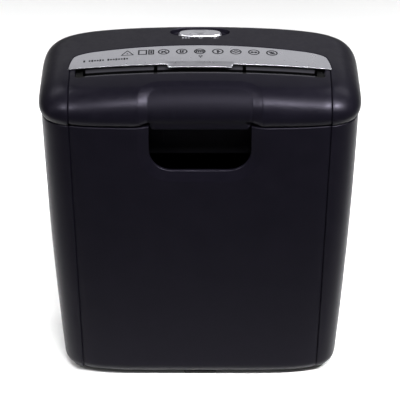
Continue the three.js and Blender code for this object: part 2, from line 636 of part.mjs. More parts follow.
// The comb that lifts shreds out from between the discs of one roll. side is -1 in front and +1 behind.
function stripperComb(side, offset) {
  const flip = ([y, z]) => [NIP_Y + side * y, z];
  const bar = [flip([28, 0])[0], flip([32, 0])[0]].sort((a, b) => a - b);
  const reach = PLATE_X - GAP;
  let comb = block([-reach, bar[0], CUTTER_Z + 12], [reach, bar[1], CUTTER_Z + 16.4]);
  const finger = [
    [32, CUTTER_Z + 16],
    [32, CUTTER_Z + 8],
    [26.2, CUTTER_Z - 4],
    [25.4, CUTTER_Z - 4],
    [25.6, CUTTER_Z + 4],
    [21.8, CUTTER_Z + 9],
    [21.8, CUTTER_Z + 12],
    [28, CUTTER_Z + 16],
  ].map(flip);
  const outline = polygon(side > 0 ? finger.reverse() : finger);
  const half = (DISC_PITCH * DISC_PAIRS) / 2;
  for (let i = 0; i < DISC_PAIRS - 1; i++) {
    const middle = -half + DISC_PITCH * (i + 0.75) + offset;
    comb = comb.add(sideways(outline, middle - DISC_WIDTH / 2, middle + DISC_WIDTH / 2));
  }
  return comb;
}

function makeStripperCombs() {
  add("stripper_comb_front", stripperComb(-1, FRONT_DISC_OFFSET), PLASTIC_INNER);
  add("stripper_comb_rear", stripperComb(1, REAR_DISC_OFFSET), PLASTIC_INNER);
}

// ---- Gears ----
const PRESSURE_ANGLE = THREE.MathUtils.degToRad(20);
const ADDENDUM = 0.65; // stub teeth, in modules
const DEDENDUM = 1;
const BACKLASH = 0.16; // tooth thinning at the pitch circle, in modules
const involute = (angle) => Math.tan(angle) - angle;

// A gear's outline with one tooth centred on the angle given.
function gearOutline(teeth, module, centre, toothAngle) {
  const pitch = (teeth * module) / 2;
  const base = pitch * Math.cos(PRESSURE_ANGLE);
  const tip = pitch + ADDENDUM * module;
  const root = pitch - DEDENDUM * module;
  const halfAtPitch = Math.PI / 2 / teeth - (BACKLASH * module) / 2 / pitch;
  const halfAngle = (radius) => {
    const at = Math.acos(Math.min(1, base / Math.max(radius, base)));
    return halfAtPitch + involute(PRESSURE_ANGLE) - involute(at);
  };
  const undercut = base > root + module / 4;
  const flank = undercut ? [root, base, (base + tip) / 2, tip] : [root, tip];
  const shape = [];
  for (let i = 0; i < teeth; i++) {
    const middle = toothAngle + (i * Math.PI * 2) / teeth;
    for (const radius of flank) {
      shape.push([radius, middle - halfAngle(radius)]);
    }
    for (const radius of [...flank].reverse()) {
      shape.push([radius, middle + halfAngle(radius)]);
    }
  }
  return polygon(shape.map(([r, at]) => [centre.y + r * Math.cos(at), centre.z + r * Math.sin(at)]));
}

function gear(teeth, module, centre, toothAngle, x0, x1, bore) {
  const wheel = sideways(gearOutline(teeth, module, centre, toothAngle), x0, x1);
  return wheel.subtract(rodX(centre.y, centre.z, bore, x0 - 1, x1 + 1, 12));
}

const heading = (from, to) => Math.atan2(to.z - from.z, to.y - from.y);
// The driving gear points a tooth at its partner and the driven gear points a gap back.
const driving = (from, to) => heading(from, to);
const driven = (from, to, teeth) => heading(from, to) + Math.PI / teeth;

const SYNC_X = [PLATE_X + PLATE_THICKNESS + 1.6, PLATE_X + PLATE_THICKNESS + 8.6];

function makeGearTrain() {
  const [first, second, third] = LAYER_X;
  const [low, middle, high] = STAGE_MODULES;
  const layer = (face) => [face - GEAR_WIDTH, face];
  const pinion = (module, at, partner, span, bore) =>
    gear(PINION_TEETH, module, at, driving(at, partner), ...span, bore);
  const wheel = (module, at, partner, span, bore) =>
    gear(WHEEL_TEETH, module, at, driven(at, partner, WHEEL_TEETH), ...span, bore);
  add("motor_pinion", pinion(low, MOTOR, FIRST_WHEEL, layer(first), MOTOR_SHAFT_RADIUS + 0.1), STEEL);
  const firstWheel = wheel(low, FIRST_WHEEL, MOTOR, layer(first), GEAR_BORE);
  const firstReach = [second - GEAR_WIDTH, first - GEAR_WIDTH];
  const firstPinion = pinion(middle, FIRST_WHEEL, SECOND_WHEEL, firstReach, GEAR_BORE);
  add("compound_gear_1", firstWheel.add(firstPinion), NYLON);
  const secondWheel = wheel(middle, SECOND_WHEEL, FIRST_WHEEL, layer(second), GEAR_BORE);
  const secondReach = [third - GEAR_WIDTH, second - GEAR_WIDTH];
  const secondPinion = pinion(high, SECOND_WHEEL, CUTTER_WHEEL, secondReach, GEAR_BORE);
  add("compound_gear_2", secondWheel.add(secondPinion), NYLON);
  add("cutter_drive_gear", wheel(high, CUTTER_WHEEL, SECOND_WHEEL, layer(third), SHAFT_RADIUS + GAP), STEEL);

  const axleSpan = [-GEARBOX_COVER_X + GAP, -PLATE_X - PLATE_THICKNESS - GAP];
  add("gear_axle_1", rodX(FIRST_WHEEL.y, FIRST_WHEEL.z, AXLE_RADIUS, ...axleSpan, 12), STEEL);
  add("gear_axle_2", rodX(SECOND_WHEEL.y, SECOND_WHEEL.z, AXLE_RADIUS, ...axleSpan, 12), STEEL);
  const outline = roundedRectangle(-18, TUB.bottom + 10, 41.9, 298, 2);
  const cover = sideways(outline, -GEARBOX_COVER_X - 1.2, -GEARBOX_COVER_X, 3);
  add("gearbox_cover", cover, PLASTIC_INNER);

  const front = { y: FRONT_SHAFT_Y, z: CUTTER_Z };
  const rear = { y: REAR_SHAFT_Y, z: CUTTER_Z };
  const bore = SHAFT_RADIUS + GAP;
  const syncGear = (at, toothAngle) => gear(SYNC_TEETH, SYNC_MODULE, at, toothAngle, ...SYNC_X, bore);
  add("sync_gear_front", syncGear(front, driving(front, rear)), STEEL);
  add("sync_gear_rear", syncGear(rear, driven(rear, front, SYNC_TEETH)), STEEL);
}

const GEARBOX_COVER_X = 132.8;

// ---- The motor and its wiring ----
const MOTOR_SHAFT_RADIUS = 1.6;
const MOTOR_SCREW_YS = [MOTOR.y - 9.5, MOTOR.y + 9.5];
const MOTOR_SCREW_Z = MOTOR.z - 3.5;
const MOTOR_SCREW_RADIUS = 1.3;
const FAN = { from: -38, to: -31, radius: 15, blades: 6 };
function makeMotor() {
  const { y, z, radius, from, to } = MOTOR;
  const shaftBore = rodX(y, z, MOTOR_SHAFT_RADIUS + GAP, from - 1, to + 6, 12);
  let can = rodX(y, z, radius, from, to, 28).subtract(shaftBore);
  for (const screwY of MOTOR_SCREW_YS) {
    can = can.subtract(rodX(screwY, MOTOR_SCREW_Z, MOTOR_SCREW_RADIUS + GAP, from - 1, from + 5, 10));
  }
  add("motor_can", can, STEEL);
  MOTOR_SCREW_YS.forEach((screwY, i) => {
    const outside = -PLATE_X - PLATE_THICKNESS - GAP;
    const shank = rodX(screwY, MOTOR_SCREW_Z, MOTOR_SCREW_RADIUS, outside - 0.5, from + 4, 10);
    const head = rodX(screwY, MOTOR_SCREW_Z, 2.4, outside - 0.7, outside);
    add(`motor_screw_${i + 1}`, shank.add(head), STEEL);
  });
  const bell = rodX(y, z, radius - 1, to + GAP, to + 5, 28);
  add("motor_end_bell", bell.subtract(shaftBore), PLASTIC_INNER);
  add("motor_shaft", rodX(y, z, MOTOR_SHAFT_RADIUS, LAYER_X[0] - GEAR_WIDTH, FAN.to + 1, 12), STEEL);
  let fan = rodX(y, z, 4, FAN.from, FAN.to);
  for (let i = 0; i < FAN.blades; i++) {
    const blade = block([FAN.from, -0.7, 3], [FAN.to, 0.7, FAN.radius]);
    fan = fan.add(blade.rotate([(360 * i) / FAN.blades, 0, 0]).translate([0, y, z]));
  }
  const fanBore = rodX(y, z, MOTOR_SHAFT_RADIUS + 0.1, FAN.from - 1, FAN.to + 1, 12);
  add("cooling_fan", fan.subtract(fanBore), PLASTIC_INNER);
  add("thermal_cutout", block([-90, y - 6, z + radius + GAP], [-70, y + 6, z + radius + 4.5]), PLASTIC_INNER);
}

function makeElectronics() {
  const floor = TUB.bottom + TUB.wall + GAP;
  add("circuit_board", block([2, 26, floor], [92, 56, floor + 1.6]), BOARD_GREEN);
  add("power_relay", block([12, 30, floor + 1.6 + GAP], [30, 46, floor + 17]), PLASTIC_INNER);
  add("smoothing_capacitor", post(70, 42, 8, floor + 1.6 + GAP, floor + 24, 20), PLASTIC_BLACK);
}

// ---- The paper sensor behind the throat ----
function makeSensor() {
  const { y, z } = SENSOR_PIVOT;
  const arm = polygon([
    [y + 1.5, z - 2],
    [y + 1.5, z + 2],
    [y - 2, z + 1.5],
    [y - 12.5, z - 3],
    [y - 11.5, z - 5.4],
  ]);
  const tail = block([-2.4, y, z - 1], [2.4, y + 8, z + 1]);
  const hub = rodX(y, z, 2.3, -2.4, 2.4, 14);
  const lever = union([sideways(arm, -2.4, 2.4), tail, hub]);
  add("paper_sensor_lever", lever.subtract(rodX(y, z, SENSOR_PIN_RADIUS + GAP, -5, 5, 10)), NYLON);
  add("sensor_pin", rodX(y, z, SENSOR_PIN_RADIUS, -6.4, 6.4, 10), STEEL);
  add("paper_sensor_switch", block([-5, y + 4, 296.5], [5, y + 16, z - 2.5]), PLASTIC_INNER);
}

// ---- The interlock that stops the motor when the head is lifted ----
const PLUNGER_RADIUS = 2;
function makeInterlock() {
  const { x, y, ribTop } = INTERLOCK;
  const body = block([x - 8, y - 5, FLANGE.top + GAP], [x + 8, y + 5, FLANGE.top + 12]);
  const bore = post(x, y, PLUNGER_RADIUS + GAP, FLANGE.top - 5, FLANGE.top + 9);
  add("interlock_switch", body.subtract(bore), PLASTIC_INNER);
  add("interlock_plunger", post(x, y, PLUNGER_RADIUS, ribTop + GAP, FLANGE.top + 6), NYLON);
}

const headOuter = headForm();
makeBin();
makeFeet();
makeHeadCover(headOuter);
makeControlPanel(headOuter);
makeThroatGuide(headOuter);
makeLowerHousing();
makeHousingScrews();
makeCordGland();
makeSwitch(headOuter);
makeSidePlates();
makeTieRods();
makeBushes();
makeCutters();
makeStripperCombs();
makeGearTrain();
makeMotor();
makeElectronics();
makeSensor();
makeInterlock();

export default shredder;
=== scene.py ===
import json
import math

import bpy
import numpy as np
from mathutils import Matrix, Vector, geometry, kdtree


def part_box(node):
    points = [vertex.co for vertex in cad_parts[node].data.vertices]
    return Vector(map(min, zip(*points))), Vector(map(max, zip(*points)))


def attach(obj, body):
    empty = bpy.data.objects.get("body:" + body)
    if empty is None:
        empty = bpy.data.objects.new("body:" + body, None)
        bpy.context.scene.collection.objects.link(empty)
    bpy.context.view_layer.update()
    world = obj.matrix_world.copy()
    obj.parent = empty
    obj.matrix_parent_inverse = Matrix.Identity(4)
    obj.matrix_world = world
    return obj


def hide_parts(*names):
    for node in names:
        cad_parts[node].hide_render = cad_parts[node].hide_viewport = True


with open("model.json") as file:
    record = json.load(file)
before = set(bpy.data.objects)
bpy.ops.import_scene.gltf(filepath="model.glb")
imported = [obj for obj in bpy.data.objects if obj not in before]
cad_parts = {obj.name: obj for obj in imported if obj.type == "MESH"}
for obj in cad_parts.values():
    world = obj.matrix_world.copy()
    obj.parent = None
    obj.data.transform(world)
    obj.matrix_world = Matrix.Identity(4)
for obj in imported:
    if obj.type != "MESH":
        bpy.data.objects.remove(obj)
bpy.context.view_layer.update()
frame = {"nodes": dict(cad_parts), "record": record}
scene = bpy.context.scene

# Shapes are worked out in millimetres and written to meshes in metres.
MM = 0.001


def box_mm(node):
    """Lowest and highest corner of a CAD node, in millimetres."""
    low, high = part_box(node)
    return np.array(low) / MM, np.array(high) / MM


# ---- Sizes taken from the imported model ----
head_low, head_high = box_mm("head_cover")
bin_low, bin_high = box_mm("bin_shell")
panel_low, panel_high = box_mm("control_panel")
knob_low, knob_high = box_mm("switch_knob")
throat_low, throat_high = box_mm("throat_guide")

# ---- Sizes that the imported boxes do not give, in millimetres ----
GAP = 0.3
HEAD_EXPONENT = 5.9
HEAD_WALL = 3.0
HEAD_TUCK = 3.0
ROLL = 23.0
CROWN = 8.6
FRONT_DROP = 8.0
BIN_EXPONENT = 5.5
BIN_WALL = 2.8
BIN_FILLET = 12.7
BIN_BOW = 2.1
BIN_TAPER = (15.0, 8.0)

# The centre band is let into the front of the head and the bin, with a fine groove along its sides.
BAND_DEPTH = 1.2
BAND_TOP = 121.0
BAND_BOTTOM = 114.4
BAND_START = -20.3
BAND_FADE = 12.0
BAND_STEP = {"width": 0.8, "soft": 0.25}
BAND_OFFSETS = (-0.65, -0.4, -0.15, 0.15, 0.4, 0.65)
GROOVE = {"half": 0.8, "depth": 1.2}

# The hand recess in the head and the finger window in the bin, each with a bevelled rim band.
GRIP_HALF = 57.6
GRIP_TOP = -47.5
GRIP_CORNER = 21.0
GRIP_DEPTH = 5.0
GRIP_TOP_DEPTH = 2.6
GRIP_FALL = {"start": 2.0, "length": 30.0}
GRIP_SOFT = 0.9
TONGUE_HALF = 46.3
WINDOW = {"half": 47.3, "bottom": 235.5, "radius": 21.0}
RIM_BAND = 10.0
RIM_BAND_DEPTH = 3.2
RIM_INSET = 0.5

# The silver panel, whose tab slopes down over the middle of the slot.
PANEL_WALL = 0.9
PANEL_ROLL = 0.35
TAB_HALF = 30.0
TAB_CORNER = 0.8
LIP_START = -16.9
LIP_LENGTH = 4.6
LIP_DROP = 1.9

# The mode switch: the oval well in the cover, the stem's slot below it, and the knob's form.
SWITCH_WELL = {"x": 28.3, "y": 10.8, "depth": 4.0}
SLIDE_TRAVEL = 5.0
STEM_HEIGHT = 9.4
STEM_CLEARANCE = (3.0, 2.0)
KNOB_EXPONENT = 2.5
KNOB_BEVEL = {"height": 2.0, "width": 1.4, "change": 0.6, "reach": 5.0}
KNOB_DOME = {"x": 5.7, "y": 4.9, "rise": 0.8, "back": 1.2}

# The paper guide's painted light: the band painted lit below the panel's painted shadow, half its lit
# length, and the two latch slots painted dark as their shade.
GUIDE_LIGHT_BAND = {"bottom": 312.5, "height": 7.5}
GUIDE_LIT_HALF = 106.5
LATCH_SHADE = {"x": 41.2, "half": 1.7}

# The roll of a cut edge, the spacing of points along edges, and how far grid points keep from them.
EDGE_ROLL = 1.2
EDGE_SPACING = 4.0
GRID_CLEARANCE = 1.2
PRINT_HEIGHT = 0.05

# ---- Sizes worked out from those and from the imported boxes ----
TOP = head_high[2]
HALF_WIDTH = head_high[0]
REAR_DEPTH = head_high[1]
FRONT_DEPTH = REAR_DEPTH + BAND_DEPTH
WIDEST = TOP - ROLL - CROWN
HEM = bin_high[2] + 0.5
SKIRT = WIDEST - HEM
ROLL_ARC = ROLL * math.pi / 2
HEM_RING = ROLL_ARC + SKIRT
TONGUE_RING = HEM_RING + HEM - head_low[2]
SWITCH_Y = (knob_low[1] + knob_high[1]) / 2
SLOT_HALF = throat_high[0] + GAP
SLOT_FRONT = throat_low[1] - GAP
PANEL_HALF = panel_high[0]
PANEL_REAR = panel_high[1]
TAB_FRONT = panel_low[1]


# ---- Camera, lights and floor ----
def make_camera():
    """A long lens at the photograph's height and distance, looking down a little from straight in front."""
    pitch = math.radians(30.2)
    distance = 2.1
    aim = Vector((0, 0, 0.1628))
    data = bpy.data.cameras.new("camera")
    data.lens = 194.4
    data.sensor_width = 36
    data.clip_end = 20
    camera = bpy.data.objects.new("camera", data)
    camera.location = aim + Vector((0, -math.cos(pitch), math.sin(pitch))) * distance
    camera.rotation_euler = (math.pi / 2 - pitch, 0, 0)
    scene.collection.objects.link(camera)
    scene.camera = camera


def make_light(name, place, aim, size, power, spread=180):
    """A rectangular softbox at place that faces aim; a small spread makes its beam narrow."""
    data = bpy.data.lights.new(name, "AREA")
    data.spread = math.radians(spread)
    data.shape = "RECTANGLE"
    data.size, data.size_y = size
    data.energy = power
    light = bpy.data.objects.new(name, data)
    light.location = place
    light.rotation_euler = (Vector(aim) - Vector(place)).to_track_quat("-Z", "Y").to_euler()
    scene.collection.objects.link(light)


def make_studio():
    """A white room: soft light from behind and the sides, and narrow keys that draw the highlights."""
    make_light("side_left", (-1.1, 0.75, 1.7), (0, 0.7, 0), (0.5, 0.9), 4.8, 110)
    make_light("side_right", (1.1, 0.75, 1.7), (0, 0.7, 0), (0.5, 0.9), 4.8, 110)
    make_light("rear_softbox", (0, 1.9, 1.25), (0, 0, 0.3), (2.4, 0.8), 5.2)
    make_light("front_strip", (0.15, -0.95, 1.6), (0, 0, 0.3), (1.5, 0.2), 3.1, 28)
    make_light("left_softbox", (-1.5, -0.5, 0.8), (0, 0, 0.2), (0.4, 0.9), 1.5)
    make_light("left_key", (-0.85, -0.8, 1.35), (0, 0, 0.3), (0.25, 0.25), 0.5, 26)
    make_light("right_softbox", (0.95, -0.7, 1.45), (0.1, 0, 0.3), (0.35, 0.35), 1.8, 26)
    world = bpy.data.worlds.new("studio")
    scene.world = world
    world.use_nodes = True
    world.node_tree.nodes["Background"].inputs["Color"].default_value = (1, 1, 1, 1)
    world.node_tree.nodes["Background"].inputs["Strength"].default_value = 0.22
    scene.view_settings.view_transform = "Standard"
    half = 6.0
    mesh = bpy.data.meshes.new("floor")
    corners = [(-half, -half, 0), (half, -half, 0), (half, half, 0), (-half, half, 0)]
    mesh.from_pydata(corners, [], [(0, 1, 2, 3)])
    floor = bpy.data.objects.new("floor", mesh)
    scene.collection.objects.link(floor)
    floor.data.materials.append(floor_material())


# ---- Materials ----
# The gloss is low, so that the dark plastic does not mirror the white floor.
PLASTIC_GLOSS = 0.09
PLASTIC_SHEEN = (0.84, 0.79, 1.0, 1.0)


def new_material(name, color, roughness, metallic=0.0):
    """A Principled material, its node tree and its shader."""
    material = bpy.data.materials.new(name)
    material.use_nodes = True
    tree = material.node_tree
    shader = tree.nodes["Principled BSDF"]
    shader.inputs["Base Color"].default_value = (*color, 1)
    shader.inputs["Roughness"].default_value = roughness
    shader.inputs["Metallic"].default_value = metallic
    return material, tree, shader


def noise(tree, scale, detail, stretch=(1, 1, 1)):
    """The factor output of a noise texture in object space, with its scale per metre."""
    coords = tree.nodes.new("ShaderNodeTexCoord")
    mapping = tree.nodes.new("ShaderNodeMapping")
    mapping.inputs["Scale"].default_value = stretch
    texture = tree.nodes.new("ShaderNodeTexNoise")
    texture.inputs["Scale"].default_value = scale
    texture.inputs["Detail"].default_value = detail
    tree.links.new(coords.outputs["Object"], mapping.inputs["Vector"])
    tree.links.new(mapping.outputs["Vector"], texture.inputs["Vector"])
    return texture.outputs["Fac"]


def ramp(tree, factor, low, high):
    """Remaps a noise factor's useful middle to a value between low and high."""
    node = tree.nodes.new("ShaderNodeMapRange")
    node.inputs["From Min"].default_value = 0.3
    node.inputs["From Max"].default_value = 0.7
    node.inputs["To Min"].default_value = low
    node.inputs["To Max"].default_value = high
    tree.links.new(factor, node.inputs["Value"])
    return node.outputs["Result"]


def tint(tree, shader, factor, first, second):
    """Varies the base colour between two close colours."""
    blend = tree.nodes.new("ShaderNodeValToRGB")
    low, high = blend.color_ramp.elements
    low.position = 0.3
    low.color = (*first, 1)
    high.position = 0.7
    high.color = (*second, 1)
    tree.links.new(factor, blend.inputs["Fac"])
    tree.links.new(blend.outputs["Color"], shader.inputs["Base Color"])


def bump(tree, shader, factor, depth, strength):
    """Raises the surface by up to depth metres where the factor is high."""
    node = tree.nodes.new("ShaderNodeBump")
    node.inputs["Strength"].default_value = strength
    node.inputs["Distance"].default_value = depth
    tree.links.new(factor, node.inputs["Height"])
    tree.links.new(node.outputs["Normal"], shader.inputs["Normal"])


def plastic_material(name, dark, light, roughness, grain=0.00002):
    """Moulded plastic with a fine spark-eroded grain."""
    material, tree, shader = new_material(name, dark, roughness)
    shader.inputs["Specular IOR Level"].default_value = PLASTIC_GLOSS
    shader.inputs["Specular Tint"].default_value = PLASTIC_SHEEN
    tint(tree, shader, noise(tree, 60, 3), dark, light)
    rough = ramp(tree, noise(tree, 220, 3), roughness - 0.04, roughness + 0.05)
    tree.links.new(rough, shader.inputs["Roughness"])
    bump(tree, shader, noise(tree, 1500, 1), grain, 0.6)
    return material


def grip_material():
    """The pad's duller plastic, brushed lightly from top to bottom."""
    material, tree, shader = new_material("grip_plastic", (0.0016, 0.0014, 0.0028), 0.5)
    shader.inputs["Specular IOR Level"].default_value = PLASTIC_GLOSS * 0.7
    shader.inputs["Specular Tint"].default_value = PLASTIC_SHEEN
    streaks = noise(tree, 500, 3, (1, 0.06, 0.06))
    tint(tree, shader, streaks, (0.0013, 0.0011, 0.0023), (0.0022, 0.002, 0.0036))
    tree.links.new(ramp(tree, streaks, 0.44, 0.56), shader.inputs["Roughness"])
    bump(tree, shader, streaks, 0.00002, 0.5)
    return material


def guide_material():
    """The paper guide's plastic, with light and shade painted in: a painted lit band with painted shadow
    above and below it, and painted shade in two latch slots and at both ends.
    """
    material, tree, shader = new_material("guide_plastic_painted_light", (0.012, 0.0115, 0.014), 0.35)
    shader.inputs["Specular IOR Level"].default_value = PLASTIC_GLOSS
    coords = tree.nodes.new("ShaderNodeTexCoord")
    axes = tree.nodes.new("ShaderNodeSeparateXYZ")
    tree.links.new(coords.outputs["Object"], axes.inputs["Vector"])

    def calculate(operation, first, second):
        """The output of a math node. A plain number is set on its socket, and an output is linked to it."""
        node = tree.nodes.new("ShaderNodeMath")
        node.operation = operation
        for socket, value in zip(node.inputs, (first, second)):
            if isinstance(value, float):
                socket.default_value = value
            else:
                tree.links.new(value, socket)
        return node.outputs["Value"]

    reach = calculate("ABSOLUTE", axes.outputs["X"], 0.0)
    square = calculate("MULTIPLY", reach, reach)
    crown = calculate("MULTIPLY", square, CROWN / HALF_WIDTH**2 / MM)
    level = calculate("SUBTRACT", calculate("ADD", axes.outputs["Z"], crown), GUIDE_LIGHT_BAND["bottom"] * MM)
    # Painted light: dark at the bottom, then a painted lit band, then painted shadow from the panel towards
    # the top.
    band = tree.nodes.new("ShaderNodeValToRGB")
    stops = ((0.0, 0.0008), (0.24, 0.0008), (0.34, 0.03), (0.8, 0.005), (1.0, 0.003))
    while len(band.color_ramp.elements) < len(stops):
        band.color_ramp.elements.new(0.5)
    for element, (position, grey) in zip(band.color_ramp.elements, stops):
        element.position = position
        element.color = (grey, grey * 0.97, grey * 1.15, 1)
    tree.links.new(calculate("DIVIDE", level, GUIDE_LIGHT_BAND["height"] * MM), band.inputs["Fac"])
    # Painted shade: black stripes stand for the shade in the two latch slots, and the guide is painted
    # black beyond its lit half length, for the shade at the slot's ends.
    from_latch = calculate("ABSOLUTE", calculate("SUBTRACT", reach, LATCH_SHADE["x"] * MM), 0.0)
    off_latch_shade = calculate("GREATER_THAN", from_latch, LATCH_SHADE["half"] * MM)
    lit = calculate("MULTIPLY", off_latch_shade, calculate("LESS_THAN", reach, GUIDE_LIT_HALF * MM))
    shade = tree.nodes.new("ShaderNodeVectorMath")
    shade.operation = "SCALE"
    tree.links.new(band.outputs["Color"], shade.inputs["Vector"])
    tree.links.new(lit, shade.inputs["Scale"])
    tree.links.new(shade.outputs["Vector"], shader.inputs["Base Color"])
    tree.links.new(ramp(tree, noise(tree, 300, 3, (1, 1, 0.1)), 0.3, 0.42), shader.inputs["Roughness"])
    return material


def silver_material():
    """Silver paint over plastic: fine metal flake and a soft sheen."""
    material, tree, shader = new_material("silver_paint", (0.32, 0.32, 0.35), 0.3, 0.92)
    tint(tree, shader, noise(tree, 2600, 2), (0.28, 0.28, 0.305), (0.36, 0.36, 0.39))
    tree.links.new(ramp(tree, noise(tree, 150, 2), 0.27, 0.34), shader.inputs["Roughness"])
    bump(tree, shader, noise(tree, 2600, 1), 0.00001, 0.4)
    return material


def steel_material():
    """Ground steel with marks that run along the shafts."""
    material, tree, shader = new_material("ground_steel", (0.5, 0.51, 0.53), 0.32, 1.0)
    streaks = noise(tree, 900, 3, (0.06, 1, 1))
    tint(tree, shader, streaks, (0.44, 0.45, 0.47), (0.56, 0.57, 0.59))
    tree.links.new(ramp(tree, streaks, 0.26, 0.42), shader.inputs["Roughness"])
    bump(tree, shader, streaks, 0.00001, 0.5)
    return material


def nylon_material():
    """Milky gear nylon with a waxy surface."""
    material, tree, shader = new_material("gear_nylon", (0.75, 0.72, 0.63), 0.45)
    shader.inputs["Subsurface Weight"].default_value = 0.15
    shader.inputs["Subsurface Radius"].default_value = (0.002, 0.0016, 0.001)
    tint(tree, shader, noise(tree, 120, 3), (0.70, 0.67, 0.58), (0.80, 0.77, 0.69))
    bump(tree, shader, noise(tree, 700, 2), 0.00002, 0.5)
    return material


def brass_material():
    """Sintered bronze with oil-darkened pores."""
    material, tree, shader = new_material("sintered_bronze", (0.48, 0.31, 0.12), 0.38, 1.0)
    pores = noise(tree, 1800, 3)
    tint(tree, shader, pores, (0.32, 0.20, 0.08), (0.55, 0.37, 0.15))
    tree.links.new(ramp(tree, pores, 0.5, 0.32), shader.inputs["Roughness"])
    bump(tree, shader, pores, 0.00002, 0.6)
    return material


def rubber_material():
    """Dull black rubber with a little dust in it."""
    material, tree, shader = new_material("rubber", (0.02, 0.02, 0.021), 0.85)
    tint(tree, shader, noise(tree, 400, 4), (0.014, 0.014, 0.015), (0.035, 0.035, 0.036))
    bump(tree, shader, noise(tree, 900, 2), 0.00004, 0.8)
    return material


def board_material():
    """Green solder mask over copper tracks that show as slightly raised lines."""
    material, tree, shader = new_material("circuit_board", (0.02, 0.16, 0.06), 0.35)
    coords = tree.nodes.new("ShaderNodeTexCoord")
    tracks = tree.nodes.new("ShaderNodeTexBrick")
    tracks.inputs["Scale"].default_value = 260
    tracks.inputs["Mortar Size"].default_value = 0.03
    tracks.inputs["Color1"].default_value = (0.015, 0.13, 0.045, 1)
    tracks.inputs["Color2"].default_value = (0.02, 0.17, 0.06, 1)
    tracks.inputs["Mortar"].default_value = (0.06, 0.30, 0.10, 1)
    tree.links.new(coords.outputs["Object"], tracks.inputs["Vector"])
    tree.links.new(tracks.outputs["Color"], shader.inputs["Base Color"])
    bump(tree, shader, tracks.outputs["Fac"], 0.00003, 0.6)
    return material


def print_material():
    """Matt black ink, pad printed."""
    material, tree, shader = new_material("pad_print", (0.004, 0.004, 0.005), 0.7)
    shader.inputs["Specular IOR Level"].default_value = 0.1
    tint(tree, shader, noise(tree, 1800, 3), (0.003, 0.003, 0.004), (0.008, 0.008, 0.01))
    return material


def pale_print_material():
    """Pale grey ink, pad printed."""
    material, tree, shader = new_material("pale_print", (0.09, 0.09, 0.1), 0.6)
    tint(tree, shader, noise(tree, 1800, 3), (0.07, 0.07, 0.08), (0.11, 0.11, 0.12))
    return material


def floor_material():
    """Seamless white paper."""
    material, tree, shader = new_material("backdrop_paper", (0.92, 0.92, 0.92), 0.9)
    tint(tree, shader, noise(tree, 8, 2), (0.915, 0.915, 0.915), (0.925, 0.925, 0.925))
    return material


make_camera()
make_studio()


# ---- Shells: a surface unrolled flat, triangulated with its feature lines, pushed in and thickened ----
def soft_ramp(distance, width, soft):
    """0 before 0 and 1 beyond width, straight between, with corners rounded over soft to each side."""

    def knee(x):
        return np.where(x > soft, x, np.where(x > -soft, (x + soft) ** 2 / (4 * soft), 0))

    return (knee(distance) - knee(distance - width)) / width


def rolled(distance, radius):
    """How far a quarter-round edge has fallen at a distance in from the edge."""
    inside = np.clip(radius - distance, 0, radius)
    return radius - np.sqrt(radius**2 - inside**2)


def distance_to(points, line):
    """Shortest distance from each point to a polyline."""
    best = np.full(len(points), np.inf)
    for start, end in zip(line[:-1], line[1:]):
        along = end - start
        share = np.clip(((points - start) @ along) / max(along @ along, 1e-9), 0, 1)
        best = np.minimum(best, np.hypot(*(points - start - share[:, None] * along).T))
    return best


def inside_polygon(points, polygon):
    """Even-odd test of each point against a closed polygon."""
    x, y = points.T
    inside = np.zeros(len(points), bool)
    for (x0, y0), (x1, y1) in zip(polygon, np.roll(polygon, -1, axis=0)):
        if y0 != y1:
            crosses = (y0 > y) != (y1 > y)
            inside ^= crosses & (x < (x1 - x0) * (y - y0) / (y1 - y0) + x0)
    return inside


def offset_line(line, distance, closed):
    """The polyline moved to its left by distance."""
    before = np.roll(line, 1, axis=0)
    after = np.roll(line, -1, axis=0)
    if not closed:
        before[0] = line[0]
        after[-1] = line[-1]
    along = after - before
    along /= np.maximum(np.hypot(*along.T), 1e-9)[:, None]
    return line + distance * np.column_stack([-along[:, 1], along[:, 0]])


def rounded_polygon(corners, steps, closed=True):
    """Corners are (x, y, radius). Each is replaced by an arc that touches both of its sides."""
    points = []
    count = len(corners)
    for i, (x, y, radius) in enumerate(corners):
        here = np.array([x, y], float)
        if radius == 0 or (not closed and i in (0, count - 1)):
            points.append(here)
            continue
        back = np.array(corners[i - 1][:2]) - here
        ahead = np.array(corners[(i + 1) % count][:2]) - here
        back /= np.linalg.norm(back)
        ahead /= np.linalg.norm(ahead)
        half = math.acos(np.clip(back @ ahead, -1, 1)) / 2
        reach = radius / math.tan(half)
        middle = here + (back + ahead) / np.linalg.norm(back + ahead) * radius / math.sin(half)
        first = here + back * reach - middle
        last = here + ahead * reach - middle
        swing = math.pi - 2 * half
        for k in range(steps + 1):
            share = k / steps
            mixed = first * math.sin((1 - share) * swing) + last * math.sin(share * swing)
            points.append(middle + mixed / math.sin(swing))
    return np.array(points)


def dense(line, spacing, closed=False):
    """The polyline with points added so that none is further apart than spacing."""
    ends = np.roll(line, -1, axis=0) if closed else line[1:]
    points = []
    for start, end in zip(line, ends):
        steps = max(1, math.ceil(np.hypot(*(end - start)) / spacing))
        points += [start + (end - start) * k / steps for k in range(steps)]
    if not closed:
        points.append(line[-1])
    return np.array(points)


